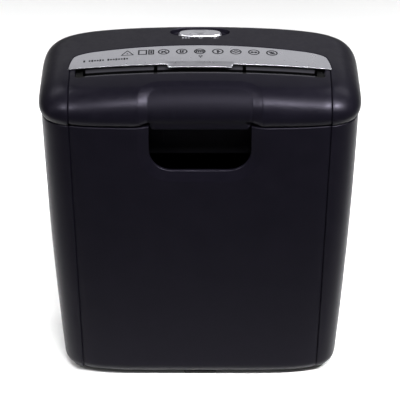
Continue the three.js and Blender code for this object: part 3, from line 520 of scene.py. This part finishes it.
def triangulate(outline, holes, lines, grid):
    """Triangles over the outline less its holes, keeping every line as edges."""
    verts = []
    edges = []
    for line, closed in [(outline, True)] + [(hole, True) for hole in holes] + lines:
        first = len(verts)
        verts += [Vector(point) for point in line]
        edges += [(first + k, first + k + 1) for k in range(len(line) - 1)]
        if closed:
            edges.append((len(verts) - 1, first))
    tree = kdtree.KDTree(len(verts))
    for index, vert in enumerate(verts):
        tree.insert((*vert, 0), index)
    tree.balance()
    verts += [Vector(point) for point in grid if tree.find((*point, 0))[2] > GRID_CLEARANCE]
    flat, _, faces, *_ = geometry.delaunay_2d_cdt(verts, edges, [], 0, 1e-5, False)
    flat = np.array([tuple(vert) for vert in flat])
    faces = np.array([face for face in faces if len(face) == 3])
    middles = flat[faces].mean(axis=1)
    keep = inside_polygon(middles, outline)
    for hole in holes:
        keep &= ~inside_polygon(middles, hole)
    faces = faces[keep]
    a, b, c = (flat[faces[:, k]] for k in range(3))
    turn = (b - a)[:, 0] * (c - a)[:, 1] - (b - a)[:, 1] * (c - a)[:, 0]
    faces[turn < 0] = faces[turn < 0][:, ::-1]
    used, numbers = np.unique(faces[np.abs(turn) > 1e-9], return_inverse=True)
    return flat[used], numbers.reshape(-1, 3)


def normals_of(place, flat):
    """The outward normal of a placed surface at each flat point, from small steps to both sides."""
    step = 0.02
    u, v = flat.T
    along_u = place(u + step, v) - place(u - step, v)
    along_v = place(u, v + step) - place(u, v - step)
    normal = np.cross(along_u, along_v)
    return normal / np.linalg.norm(normal, axis=1)[:, None]


def weld(points, faces):
    """Joins points that coincide, such as the two sides of a seam."""
    _, first, numbers = np.unique(np.round(points, 3), axis=0, return_index=True, return_inverse=True)
    faces = numbers.reshape(-1)[faces]
    real = (faces[:, 0] != faces[:, 1]) & (faces[:, 1] != faces[:, 2]) & (faces[:, 0] != faces[:, 2])
    return first, faces[real]


def open_edges(faces):
    """Edges that only one triangle uses, in that triangle's direction."""
    pairs = np.concatenate([faces[:, [0, 1]], faces[:, [1, 2]], faces[:, [2, 0]]])
    known = {tuple(pair) for pair in pairs.tolist()}
    return [pair for pair in known if pair[::-1] not in known]


def make_shell(
    name,
    place,
    depth,
    outline,
    holes,
    lines,
    grid,
    wall,
    edges,
    radius=EDGE_ROLL,
    cap_at=None,
    flat_back=False,
):
    """A closed shell. place puts the flat points on the plain form and depth pushes them in from it.

    edges are the polylines whose rims are rolled in, and cap_at closes the ring at that v. The inside
    lies a wall's thickness behind the outside, or with flat_back that far behind the plain form.
    """
    flat, faces = triangulate(outline, holes, lines, grid)
    base = place(*flat.T)
    first, faces = weld(base, faces)
    flat = flat[first]
    base = base[first]
    normal = normals_of(place, flat)
    sunk = depth(flat, base)
    fall = np.zeros(len(flat))
    for edge in edges:
        fall = np.maximum(fall, rolled(distance_to(flat, edge), radius))
    back = np.full(len(flat), wall) if flat_back else sunk + wall
    outer = base - normal * (sunk + fall)[:, None]
    inner = base - normal * back[:, None]
    count = len(outer)
    rim = open_edges(faces)
    bottom = []
    if cap_at is not None:
        bottom = [pair for pair in rim if np.all(np.abs(flat[list(pair), 1] - cap_at) < 1e-3)]
    capped = set(bottom)
    sides = [(b, a, a + count, b + count) for a, b in rim if (a, b) not in capped]
    solid = faces.tolist() + (faces[:, ::-1] + count).tolist() + sides
    if bottom:
        after = dict(bottom)
        ring = [bottom[0][0]]
        while after[ring[-1]] != ring[0]:
            ring.append(after[ring[-1]])
        solid += [ring[::-1], [index + count for index in ring]]
    piece = make_object(name, np.concatenate([outer, inner]), solid)
    weight_normals(piece)
    return piece


def make_object(name, points, faces):
    """A mesh object from millimetre points, smooth except across sharp edges."""
    mesh = bpy.data.meshes.new(name)
    mesh.from_pydata((np.asarray(points) * MM).tolist(), [], faces)
    mesh.validate()
    mesh.shade_smooth()
    mesh.set_sharp_from_angle(angle=math.radians(38))
    piece = bpy.data.objects.new(name, mesh)
    scene.collection.objects.link(piece)
    return piece


def weight_normals(piece):
    """Lets wide faces keep their own normal, so that narrow rounded edges catch the light cleanly."""
    modifier = piece.modifiers.new("weighted_normals", "WEIGHTED_NORMAL")
    modifier.keep_sharp = True
    modifier.weight = 60


def finish_piece(piece, body, material, slot, *nodes):
    """Gives a piece its material, lets it stand for CAD nodes, and puts it on its body. The slot is not
    used.
    """
    piece.data.materials.append(material)
    if nodes:
        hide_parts(*nodes)
    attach(piece, body)


# ---- The head's form ----
def superellipse(angles, a, b, exponent):
    """Points of a superellipse by polar angle."""
    c = np.cos(angles)
    s = np.sin(angles)
    reach = (np.abs(c) ** exponent + np.abs(s) ** exponent) ** (-1 / exponent)
    return np.column_stack([a * reach * c, b * reach * s])


def head_ring(u, v):
    """How far outside the flat top's outline a point of the unrolled plan lies; 0 inside it."""
    flat_y = np.where(v < 0, FRONT_DEPTH, REAR_DEPTH) - ROLL
    low = np.zeros_like(u)
    high = np.full_like(u, 80.0)
    for _ in range(40):  # halves the interval until only rounding is left
        middle = (low + high) / 2
        x_share = np.abs(u / (HALF_WIDTH - ROLL + middle))
        y_share = np.abs(v / (flat_y + middle))
        outside = x_share**HEAD_EXPONENT + y_share**HEAD_EXPONENT > 1
        low = np.where(outside, middle, low)
        high = np.where(outside, high, middle)
    return low


def head_lean(ring):
    """How far the side has leant in from its widest line at a ring."""
    roll_angle = np.clip(ring / ROLL, 0, math.pi / 2)
    tuck = HEAD_TUCK * np.clip((ring - ROLL_ARC) / SKIRT, 0, 1) ** 2
    return ROLL * (1 - np.sin(roll_angle)) + tuck


def head_place(u, v):
    """A point of the unrolled plan on the head: flat crown, rolled edge, then the skirt down to its hem."""
    ring = head_ring(u, v)
    depth = np.where(v < 0, FRONT_DEPTH, REAR_DEPTH)
    shrink_x = (HALF_WIDTH - head_lean(ring)) / (HALF_WIDTH - ROLL + ring)
    shrink_y = (depth - head_lean(ring)) / (depth - ROLL + ring)
    x = u * shrink_x
    y = v * shrink_y
    rise = np.cos(np.clip(ring / ROLL, 0, math.pi / 2))
    drop = CROWN * (x / HALF_WIDTH) ** 2 + FRONT_DROP * np.maximum(0, -y / REAR_DEPTH) ** 2
    z = WIDEST + rise * (TOP - WIDEST - drop) - np.maximum(ring - ROLL_ARC, 0)
    return np.column_stack([x, y, z])


def front_plan(x, ring):
    """Where the unrolled plan shows as x from the front, on a ring outside the flat top."""
    share = x / (HALF_WIDTH - head_lean(ring))
    u = share * (HALF_WIDTH - ROLL + ring)
    v = -((1 - np.abs(share) ** HEAD_EXPONENT) ** (1 / HEAD_EXPONENT)) * (FRONT_DEPTH - ROLL + ring)
    return np.column_stack([u, v])


def front_line(x, top_y):
    """A line of constant x from top_y on the crown, over the rolled edge and down to the hem."""
    rings = np.linspace(0, HEM_RING, 24)
    return np.vstack([[x, top_y], front_plan(np.full_like(rings, x), rings)])


def grip_distance(base, v):
    """How far inside the hand recess's outer line a point lies; negative outside."""
    over_x = np.abs(base[:, 0]) - (GRIP_HALF - GRIP_CORNER)
    over_y = v - (GRIP_TOP - GRIP_CORNER)
    reach = np.hypot(np.maximum(over_x, 0), np.maximum(over_y, 0))
    return GRIP_CORNER - reach - np.minimum(np.maximum(over_x, over_y), 0)


def grip_line(inset):
    """The hand recess's outline moved in by inset, in the unrolled plan."""
    radius = GRIP_CORNER - inset
    half = GRIP_HALF - inset
    top = GRIP_TOP - inset
    corners = [(-half, -400, 0), (-half, top, radius), (half, top, radius), (half, -400, 0)]
    points = dense(rounded_polygon(corners, 9, closed=False), 3.0)
    hem = -(FRONT_DEPTH - ROLL + HEM_RING)
    points = points[points[:, 1] > hem - 3]
    rings = np.maximum(-points[:, 1] - (FRONT_DEPTH - ROLL), 0)
    mapped = front_plan(points[:, 0], rings)
    mapped[:, 1] = points[:, 1]
    on_crown = rings == 0
    mapped[on_crown] = points[on_crown]
    return mapped


def well_distance(flat):
    """Roughly how far inside the switch well's ellipse a point lies."""
    x = flat[:, 0] / SWITCH_WELL["x"]
    y = (flat[:, 1] - SWITCH_Y) / SWITCH_WELL["y"]
    level = np.maximum(np.hypot(x, y), 1e-6)
    slope = np.hypot(x / SWITCH_WELL["x"], y / SWITCH_WELL["y"]) / level
    return (1 - level) / np.maximum(slope, 1e-6)


def well_line(inset):
    """The switch well's ellipse moved in by inset."""
    turn = np.linspace(0, 2 * math.pi, 64, endpoint=False)
    x = (SWITCH_WELL["x"] - inset) * np.cos(turn)
    y = (SWITCH_WELL["y"] - inset) * np.sin(turn)
    return np.column_stack([x, SWITCH_Y + y])


def band_depth(inside):
    """How deep the centre band and the groove along it are, at a distance inside the band's side."""
    step = soft_ramp(inside + BAND_STEP["width"] / 2, BAND_STEP["width"], BAND_STEP["soft"])
    return BAND_DEPTH * step + GROOVE["depth"] * np.clip(1 - np.abs(inside) / GROOVE["half"], 0, 1)


def head_depth(flat, base):
    """The centre band, the hand recess and the switch well, each pushed in from the plain form."""
    on_front = soft_ramp(BAND_START - base[:, 1], BAND_STEP["width"], BAND_STEP["soft"])
    band = on_front * band_depth(BAND_TOP - np.abs(base[:, 0]))
    into_grip = grip_distance(base, flat[:, 1]) - RIM_INSET
    in_grip = soft_ramp(into_grip, RIM_BAND - 2 * RIM_INSET, GRIP_SOFT)
    below = (GRIP_TOP - GRIP_FALL["start"] - flat[:, 1]) / GRIP_FALL["length"]
    share = np.clip(below, 0, 1)
    grip = GRIP_TOP_DEPTH + (GRIP_DEPTH - GRIP_TOP_DEPTH) * share * (2 - share)
    in_well = soft_ramp(well_distance(flat), 0.9, 0.4)
    return band + (grip - BAND_DEPTH) * in_grip + SWITCH_WELL["depth"] * in_well


def quadratic(start, control, end, steps):
    """Points of a quadratic curve, without its last one."""
    share = np.linspace(0, 1, steps, endpoint=False)[:, None]
    start, control, end = (np.array(point) for point in (start, control, end))
    return (1 - share) ** 2 * start + 2 * share * (1 - share) * control + share**2 * end


def panel_arc(grow):
    """The panel's rear edge seen from above, from its left tip to its right one."""
    half = PANEL_HALF + grow
    rear = PANEL_REAR + grow
    right = [
        quadratic((0, rear), (50, rear), (half - 22.3, rear - 7), 24),
        quadratic((half - 22.3, rear - 7), (half - 7.3, rear - 9.7), (half - 3.8, 1), 12),
        quadratic((half - 3.8, 1), (half - 0.8, -8), (half, BAND_START - grow), 6),
        [[half, BAND_START - grow]],
    ]
    right = np.vstack(right)
    return np.vstack([right[:0:-1] * [-1, 1], right])


def panel_outline():
    """Anticlockwise, with the lip over the middle of the slot."""
    lip = rounded_polygon(
        [
            (-PANEL_HALF, BAND_START, 0),
            (-TAB_HALF, BAND_START, TAB_CORNER),
            (-TAB_HALF, TAB_FRONT, TAB_CORNER),
            (TAB_HALF, TAB_FRONT, TAB_CORNER),
            (TAB_HALF, BAND_START, TAB_CORNER),
            (PANEL_HALF, BAND_START, 0),
        ],
        4,
        closed=False,
    )
    return np.vstack([panel_arc(0)[::-1][:-1], lip[:-1]])


def cover_opening():
    """Clockwise: the opening that the panel and the paper slot share."""
    front = BAND_START - GAP
    slot = rounded_polygon(
        [
            (PANEL_HALF + GAP, front, 0),
            (SLOT_HALF, front, 1.0),
            (SLOT_HALF, SLOT_FRONT, 3.0),
            (-SLOT_HALF, SLOT_FRONT, 3.0),
            (-SLOT_HALF, front, 1.0),
            (-PANEL_HALF - GAP, front, 0),
        ],
        4,
        closed=False,
    )
    return dense(np.vstack([panel_arc(GAP)[:-1], slot[:-1]]), EDGE_SPACING, closed=True)


def stem_opening():
    """Clockwise: the slot in the well's floor that the knob's stem slides in."""
    half_x = SLIDE_TRAVEL + STEM_CLEARANCE[0]
    front = SWITCH_Y - STEM_CLEARANCE[1]
    rear = SWITCH_Y + STEM_CLEARANCE[1]
    return np.array([(-half_x, front), (-half_x, rear), (half_x, rear), (half_x, front)])


def ring_line(ring, spacing=EDGE_SPACING):
    """The head's unrolled outline at a ring outside the flat top, anticlockwise from the right."""
    turn = np.linspace(0, 2 * math.pi, 1440, endpoint=False)
    line = superellipse(turn, HALF_WIDTH - ROLL + ring, 1.0, HEAD_EXPONENT)
    line[:, 1] *= np.where(line[:, 1] < 0, FRONT_DEPTH, REAR_DEPTH) - ROLL + ring
    walked = np.concatenate([[0], np.cumsum(np.hypot(*np.diff(line, axis=0).T))])
    stops = np.linspace(0, walked[-1], int(walked[-1] / spacing), endpoint=False)
    return np.column_stack([np.interp(stops, walked, line[:, k]) for k in (0, 1)])


def head_outline():
    """The hem all round, with the recess's lower lip reaching further down in the middle of the front."""
    hem = ring_line(HEM_RING, 3.0)
    beyond = (hem[:, 1] > 0) | (np.abs(hem[:, 0]) > TONGUE_HALF * 1.12)
    left, right = front_plan(np.array([-TONGUE_HALF, TONGUE_HALF]), np.full(2, HEM_RING))
    drop = TONGUE_RING - HEM_RING
    lip = rounded_polygon(
        [
            (left[0] - 4, left[1], 0),
            (left[0], left[1], 1.0),
            (left[0] + 0.6, left[1] - drop, 2.5),
            (right[0] - 0.6, right[1] - drop, 2.5),
            (right[0], right[1], 1.0),
            (right[0] + 4, right[1], 0),
        ],
        5,
        closed=False,
    )
    gap = int(np.flatnonzero(~beyond)[0])
    return np.vstack([hem[:gap], dense(lip, 3.0), hem[gap + int((~beyond).sum()) :]])


def head_grid():
    """Points between the feature lines: a square grid on the crown and rings over the rolled edge."""
    xs, ys = np.meshgrid(np.arange(-126, 127, 6.0), np.arange(-54, 54, 6.0))
    crown = np.column_stack([xs.ravel(), ys.ravel()])
    crown = crown[head_ring(*crown.T) < 0.01]
    rings = [ring_line(ring) for ring in np.linspace(0, HEM_RING - 2, 18)]
    lip_x = np.linspace(-TONGUE_HALF, TONGUE_HALF, 28)
    lip = np.column_stack([lip_x, np.full_like(lip_x, -(FRONT_DEPTH - ROLL + HEM_RING))])
    return np.vstack([crown, *rings, lip])


def roll_lines(line, closed, radius=EDGE_ROLL):
    """Copies of an edge at the distances where its rounding is sampled."""
    steps = [radius * (1 - math.cos(math.radians(angle))) for angle in (25, 48, 70, 90)]
    return [(offset_line(line, step, closed), closed) for step in steps]


def make_head_cover(material, pad_material):
    """The charcoal cover. The pad inside the hand recess has a duller finish of its own."""
    outline = head_outline()
    opening = cover_opening()
    lines = roll_lines(outline, True) + roll_lines(opening, True)
    for side in (-1, 1):
        for offset in BAND_OFFSETS:
            side_line = front_line(side * (BAND_TOP + offset), BAND_START)
            lines.append((dense(side_line, EDGE_SPACING), False))
    insets = [RIM_INSET - GRIP_SOFT, RIM_INSET, RIM_INSET + GRIP_SOFT]
    insets += [RIM_BAND / 2] + [RIM_BAND - inset for inset in reversed(insets)]
    lines += [(grip_line(inset), False) for inset in insets]
    lines += [(well_line(inset), True) for inset in (-0.4, -0.1, 0.2, 0.7, 1.0, 1.3)]
    holes = [opening, stem_opening()]
    edges = [np.vstack([line, line[:1]]) for line in (outline, opening)]
    piece = make_shell(
        "head_cover_skin", head_place, head_depth, outline, holes, lines, head_grid(), HEAD_WALL, edges
    )
    finish_piece(piece, "head", material, "black_plastic", "head_cover")
    piece.data.materials.append(pad_material)
    centres = np.array([face.center for face in piece.data.polygons]) / MM
    on_pad = grip_distance(centres, centres[:, 1]) > RIM_BAND - 2 * RIM_INSET
    piece.data.polygons.foreach_set("material_index", on_pad.astype(int))


def make_control_panel(material):
    """The silver crescent, with a lip that slopes down over the middle of the slot."""
    outline = dense(panel_outline(), EDGE_SPACING, closed=True)

    def depth(flat, base):
        on_lip = soft_ramp(TAB_HALF + 1 - np.abs(flat[:, 0]), 1.5, 0.4)
        return LIP_DROP * on_lip * soft_ramp((LIP_START - flat[:, 1]) / LIP_LENGTH, 1, 0.08)

    xs, ys = np.meshgrid(np.arange(-118, 119, 5.0), np.arange(-20, 17, 5.0))
    grid = np.column_stack([xs.ravel(), ys.ravel()])
    grid = grid[inside_polygon(grid, outline)]
    lines = roll_lines(outline, True, PANEL_ROLL)
    half = TAB_HALF - TAB_CORNER
    for y in np.linspace(LIP_START + 0.4, TAB_FRONT + TAB_CORNER, 6):
        lines.append((dense(np.array([(-half, y), (half, y)]), EDGE_SPACING), False))
    edge = np.vstack([outline, outline[:1]])
    piece = make_shell(
        "control_panel_skin", head_place, depth, outline, [], lines, grid, PANEL_WALL, [edge], PANEL_ROLL
    )
    finish_piece(piece, "head", material, "silver_plastic", "control_panel")


# ---- The bin ----
RIM_Z = bin_high[2]
RIM_HALF = bin_high[0]
RIM_REAR = bin_high[1]
FILLET_Z = bin_low[2] + BIN_FILLET
BASE_V = FILLET_Z - BIN_FILLET * math.pi / 2
GIRTH_TURN = np.linspace(-math.pi, math.pi, 6001) - math.pi / 2
GIRTH_SHARE = superellipse(GIRTH_TURN, 1, 1, BIN_EXPONENT)
GIRTH_LINE = GIRTH_SHARE * [RIM_HALF - BIN_TAPER[0] / 2, RIM_REAR - BIN_TAPER[1] / 2]
GIRTH = np.concatenate([[0], np.cumsum(np.hypot(*np.diff(GIRTH_LINE, axis=0).T))])
GIRTH -= GIRTH[-1] / 2


def bin_size(v):
    """Half width, half depth and height at a distance v up the unrolled side."""
    turn = np.clip((FILLET_Z - v) / BIN_FILLET, 0, math.pi / 2)
    z = np.where(v < FILLET_Z, FILLET_Z - BIN_FILLET * np.sin(turn), v)
    share = z / RIM_Z
    swell = BIN_BOW * 4 * share * (1 - share) - BIN_FILLET * (1 - np.cos(turn))
    a = RIM_HALF - BIN_TAPER[0] * (1 - share) + swell
    b = RIM_REAR - BIN_TAPER[1] * (1 - share) + swell
    return a, b, z


def bin_place(u, v):
    """A point of the unrolled side: u is the distance round from the middle of the front, v the way up."""
    a, b, z = bin_size(v)
    turn = np.interp(u, GIRTH, GIRTH_TURN)
    x, y = superellipse(turn, 1, 1, BIN_EXPONENT).T
    return np.column_stack([a * x, (b + BAND_DEPTH * (y < 0)) * y, z])


def bin_front(x, v):
    """Where the unrolled side shows as x from the front at v."""
    facing = np.abs(GIRTH) < GIRTH[-1] / 2
    share = x / bin_size(v)[0]
    u = np.interp(share, GIRTH_SHARE[facing, 0], GIRTH[facing])
    return np.column_stack([u, v])


def window_line(grow):
    """The finger notch seen from the front, from its top right corner down and round to its top left."""
    half = WINDOW["half"] + grow
    radius = WINDOW["radius"] + grow
    bottom = WINDOW["bottom"] - grow
    corners = [(half, RIM_Z, 0), (half, bottom, radius), (-half, bottom, radius), (-half, RIM_Z, 0)]
    points = dense(rounded_polygon(corners, 9, closed=False), EDGE_SPACING)
    return bin_front(*points.T)


def window_distance(x, z):
    """How far outside the finger notch a point on the front lies."""
    over_x = np.abs(x) - (WINDOW["half"] - WINDOW["radius"])
    over_z = WINDOW["bottom"] + WINDOW["radius"] - z
    reach = np.hypot(np.maximum(over_x, 0), np.maximum(over_z, 0))
    return reach + np.minimum(np.maximum(over_x, over_z), 0) - WINDOW["radius"]


def band_half(z):
    """Half the width of the centre band on the bin, at a height."""
    return BAND_BOTTOM + (BAND_TOP - BAND_BOTTOM) * z / RIM_Z


def bin_depth(flat, base):
    """The centre band and the bevel round the finger notch, both on the front only."""
    x, y, z = base.T
    fade = np.clip((flat[:, 1] - BASE_V) / BAND_FADE, 0, 1) * (y < 0)
    near_notch = 1 - soft_ramp(window_distance(x, z) - RIM_INSET, RIM_BAND, 0.5)
    return fade * (band_depth(band_half(z) - np.abs(x)) + RIM_BAND_DEPTH * near_notch)


def make_bin(material):
    """The bin, unrolled from the middle of its back round to there again."""
    end = GIRTH[-1]
    window = window_line(0)
    rim = np.vstack([dense(np.array([(end, RIM_Z), window[0]]), EDGE_SPACING)[:-1], window])
    rim = np.vstack([rim, dense(np.array([window[-1], (-end, RIM_Z)]), EDGE_SPACING)[1:]])
    base = dense(np.array([(-end, BASE_V), (end, BASE_V)]), EDGE_SPACING)
    up = dense(np.array([(end, BASE_V), (end, RIM_Z)]), 8.0)[1:-1]
    outline = np.vstack([base, up, rim, up[::-1] * [-1, 1]])
    lines = roll_lines(rim, False)
    fillet = np.linspace(BASE_V, FILLET_Z, 8)
    heights = np.concatenate([fillet, np.arange(FILLET_Z + 8, RIM_Z, 8), [RIM_Z]])
    for side in (-1, 1):
        for offset in BAND_OFFSETS:
            half = band_half(np.maximum(heights, bin_low[2])) + offset
            lines.append((bin_front(side * half, heights), False))
    grows = (RIM_BAND / 2, RIM_BAND - 0.3, RIM_BAND + 0.5, RIM_BAND + 1.3)
    lines += [(window_line(grow), False) for grow in grows]
    around = np.linspace(-end, end, 210)[1:-1]
    us, vs = np.meshgrid(around, heights[1:-1])
    grid = np.column_stack([us.ravel(), vs.ravel()])
    grid = grid[inside_polygon(grid, outline)]
    piece = make_shell(
        "bin_skin", bin_place, bin_depth, outline, [], lines, grid, BIN_WALL, [rim], cap_at=BASE_V
    )
    finish_piece(piece, "bin", material, "black_plastic", "bin_shell")


# ---- The mode switch ----
def make_switch_knob(material):
    """A silver boat shape with a wide front bevel and an oval dome in the middle of its flat top."""
    half_x = knob_high[0] - GAP
    half_y = (knob_high[1] - knob_low[1]) / 2
    top = knob_high[2]
    height = top - knob_low[2] - STEM_HEIGHT
    turn = np.linspace(0, 2 * math.pi, 72, endpoint=False)
    outline = superellipse(turn, half_x, half_y, KNOB_EXPONENT)
    edge = np.vstack([outline, outline[:1]])

    def place(u, v):
        return np.column_stack([u, v + SWITCH_Y, np.full_like(u, top)])

    def depth(flat, base):
        oval = np.hypot(flat[:, 0] / KNOB_DOME["x"], (flat[:, 1] - KNOB_DOME["back"]) / KNOB_DOME["y"])
        flat_top = KNOB_DOME["rise"] * (1 - np.sqrt(np.clip(1 - oval**2, 0, 1)))
        rearward = np.clip(flat[:, 1] / KNOB_BEVEL["reach"], -1, 1)
        width = KNOB_BEVEL["width"] - KNOB_BEVEL["change"] * rearward
        inward = soft_ramp(distance_to(flat, edge) / width, 1, 0.15)
        return flat_top + KNOB_BEVEL["height"] * (1 - inward)

    insets = (0.25, 0.55, 0.8, 1.05, 1.4, 1.75, 2.1, 2.4)
    lines = [(offset_line(outline, inset, True), True) for inset in insets]
    for share in (0.3, 0.55, 0.78, 0.92, 0.99, 1.02):
        oval = superellipse(turn[::2], KNOB_DOME["x"] * share, KNOB_DOME["y"] * share, 2)
        lines.append((oval + [0, KNOB_DOME["back"]], True))
    grid = np.array([(x, 0) for x in np.arange(-18, 19, 3.0)])
    piece = make_shell(
        "switch_cap", place, depth, outline, [], lines, grid, height, [], flat_back=True
    )
    finish_piece(piece, "mode_switch", material, "silver_plastic", "switch_knob")


# ---- Printed marks ----
def make_marks(name, shapes, material, slot):
    """Thin prints that follow the head. Each shape is (outline, holes) seen from above."""
    points = []
    faces = []
    for outline, holes in shapes:
        flat, triangles = triangulate(outline, holes, [], [])
        base = head_place(*flat.T)
        normal = normals_of(head_place, flat)
        faces += (triangles + len(points)).tolist()
        points += (base + normal * PRINT_HEIGHT).tolist()
    finish_piece(make_object(name, points, faces), "head", material, slot)


def disc(x, y, radius, sides=28):
    """A circle's outline."""
    turn = np.linspace(0, 2 * math.pi, sides, endpoint=False)
    return np.column_stack([x + radius * np.cos(turn), y + radius * np.sin(turn)])


def bar(x, y, half_x, half_y, lean=0.0):
    """A rectangle's outline round a middle, turned anticlockwise by lean."""
    corners = np.array([(-half_x, -half_y), (half_x, -half_y), (half_x, half_y), (-half_x, half_y)])
    c, s = math.cos(lean), math.sin(lean)
    return corners @ np.array([(c, s), (-s, c)]) + [x, y]


def ring_shape(x, y, radius, line):
    """A circle drawn with a line of that width."""
    return (disc(x, y, radius), [disc(x, y, radius - line)])


def frame_shape(x0, y0, x1, y1, line):
    """A rectangle drawn with a line of that width."""
    middle = ((x0 + x1) / 2, (y0 + y1) / 2)
    half_x = (x1 - x0) / 2
    half_y = (y1 - y0) / 2
    return (bar(*middle, half_x, half_y), [bar(*middle, half_x - line, half_y - line)])


def icon_shapes():
    """A row of plain line symbols: a triangle, a sheet beside a slot, and seven rings with simple signs."""
    line = 1.35
    outer = rounded_polygon([(-74.5, -1, 0.5), (-61.5, -1, 0.5), (-68, 9.5, 0.5)], 3)
    inner = rounded_polygon([(-72.6, 0, 0.3), (-63.4, 0, 0.3), (-68, 7.6, 0.3)], 3)
    shapes = [(outer, [inner]), (disc(-68, 2.4, 0.9, 12), [])]
    shapes += [frame_shape(-58, -1, -49.5, 9, line), frame_shape(-48.5, -1, -43, 9, line)]
    shapes += [(bar(-45.7, 4, 0.8, 3), [])]
    slant = math.pi / 4
    for place in range(7):
        x = -34 + 16.9 * place
        shapes.append(ring_shape(x, 4, 5.5, line))
        signs = [
            [
                bar(x, 4, 3.4, 0.75, slant),
                bar(x + 1.2, 3, 2.6, 0.75, -slant),
                disc(x - 1.4, 4.6, 1.1, 12),
            ],
            [
                bar(x - 1.1, 4.2, 0.75, 2.8),
                bar(x + 0.9, 4, 0.75, 2.6),
                bar(x, 2, 1.9, 0.75),
                disc(x + 1.8, 5.2, 1, 12),
            ],
            [bar(x, 5.6, 3.6, 0.9)] + [bar(x + step, 3, 0.7, 1.5) for step in (-3, -1, 1, 3)],
            [disc(x, 5.4, 1.4, 12), bar(x, 2.6, 0.75, 2), bar(x + 1.4, 3.4, 1.2, 0.7, 0.8)],
            [
                bar(x - 1.7, 3.8, 2.4, 0.75, -0.6),
                bar(x + 1.7, 3.8, 2.4, 0.75, 0.6),
                bar(x, 6.2, 1.6, 0.7),
            ],
            [disc(x - 1.7, 4, 1.6, 12), disc(x + 1.7, 4, 1.6, 12), bar(x, 4.2, 1.6, 0.7)],
            [bar(x, 4, 3.4, 0.75, -0.5), bar(x, 5.8, 2.2, 0.75), bar(x + 0.4, 2.2, 2.2, 0.75)],
        ]
        shapes += [(sign, []) for sign in signs[place]]
    shapes += [ring_shape(0.5, -5.4, 1.9, 0.8), (bar(0.5, -8.2, 0.5, 0.9), [])]
    return shapes


def caption_shapes():
    """A row of short strokes where the panel carries small print."""
    shapes = []
    for place in range(17):
        x = -108 + 2.5 * place
        if place not in (1, 8):
            height = 1.3 if place % 3 else 1.9
            shapes.append((bar(x, -8 + 0.012 * (x + 90), 0.85, height), []))
    return shapes


def switch_mark_shapes():
    """Three plain position signs in front of the switch."""
    y = SWITCH_Y - 13.0
    arrow = np.array([(12, y), (15, y - 1.6), (15, y + 1.6)])
    return [
        (bar(-16.2, y, 0.9, 1.3), []),
        (bar(-13.4, y, 0.9, 1.3), []),
        (bar(-10.6, y, 0.9, 1.3), []),
        ring_shape(0.5, y, 1.9, 0.7),
        (arrow, []),
        (bar(16.6, y, 1.2, 0.4), []),
    ]


# ---- CAD nodes that keep their shape ----
def dress_cad_nodes(looks, special):
    """Gives every node that still shows a rounded edge, and its own material or that of its slot."""
    slots = {part["node"]: part["material_slot"] for part in frame["record"]["subparts"]}
    for name, node in frame["nodes"].items():
        if node.hide_render:
            continue
        node.data.materials.clear()
        node.data.materials.append(special.get(name, looks[slots[name]]))
        modifier = node.modifiers.new("soft_edges", "BEVEL")
        modifier.width = GAP * MM
        modifier.segments = 2
        modifier.limit_method = "ANGLE"
        modifier.angle_limit = math.radians(40)
        modifier.harden_normals = True


looks = {
    "black_plastic": plastic_material(
        "charcoal_plastic", (0.0019, 0.0017, 0.0032), (0.0026, 0.0023, 0.0041), 0.34
    ),
    "inner_plastic": plastic_material(
        "inner_plastic", (0.0011, 0.0011, 0.0014), (0.0017, 0.0017, 0.0021), 0.5, 0.00003
    ),
    "silver_plastic": silver_material(),
    "steel": steel_material(),
    "nylon": nylon_material(),
    "brass": brass_material(),
    "rubber": rubber_material(),
    "board_green": board_material(),
}
make_head_cover(looks["black_plastic"], grip_material())
make_control_panel(looks["silver_plastic"])
make_bin(looks["black_plastic"])
make_switch_knob(looks["silver_plastic"])
ink = print_material()
make_marks("panel_icons", icon_shapes(), ink, "black_plastic")
make_marks("panel_captions", caption_shapes(), ink, "black_plastic")
make_marks("switch_marks", switch_mark_shapes(), pale_print_material(), "silver_plastic")
dress_cad_nodes(looks, {"throat_guide": guide_material()})
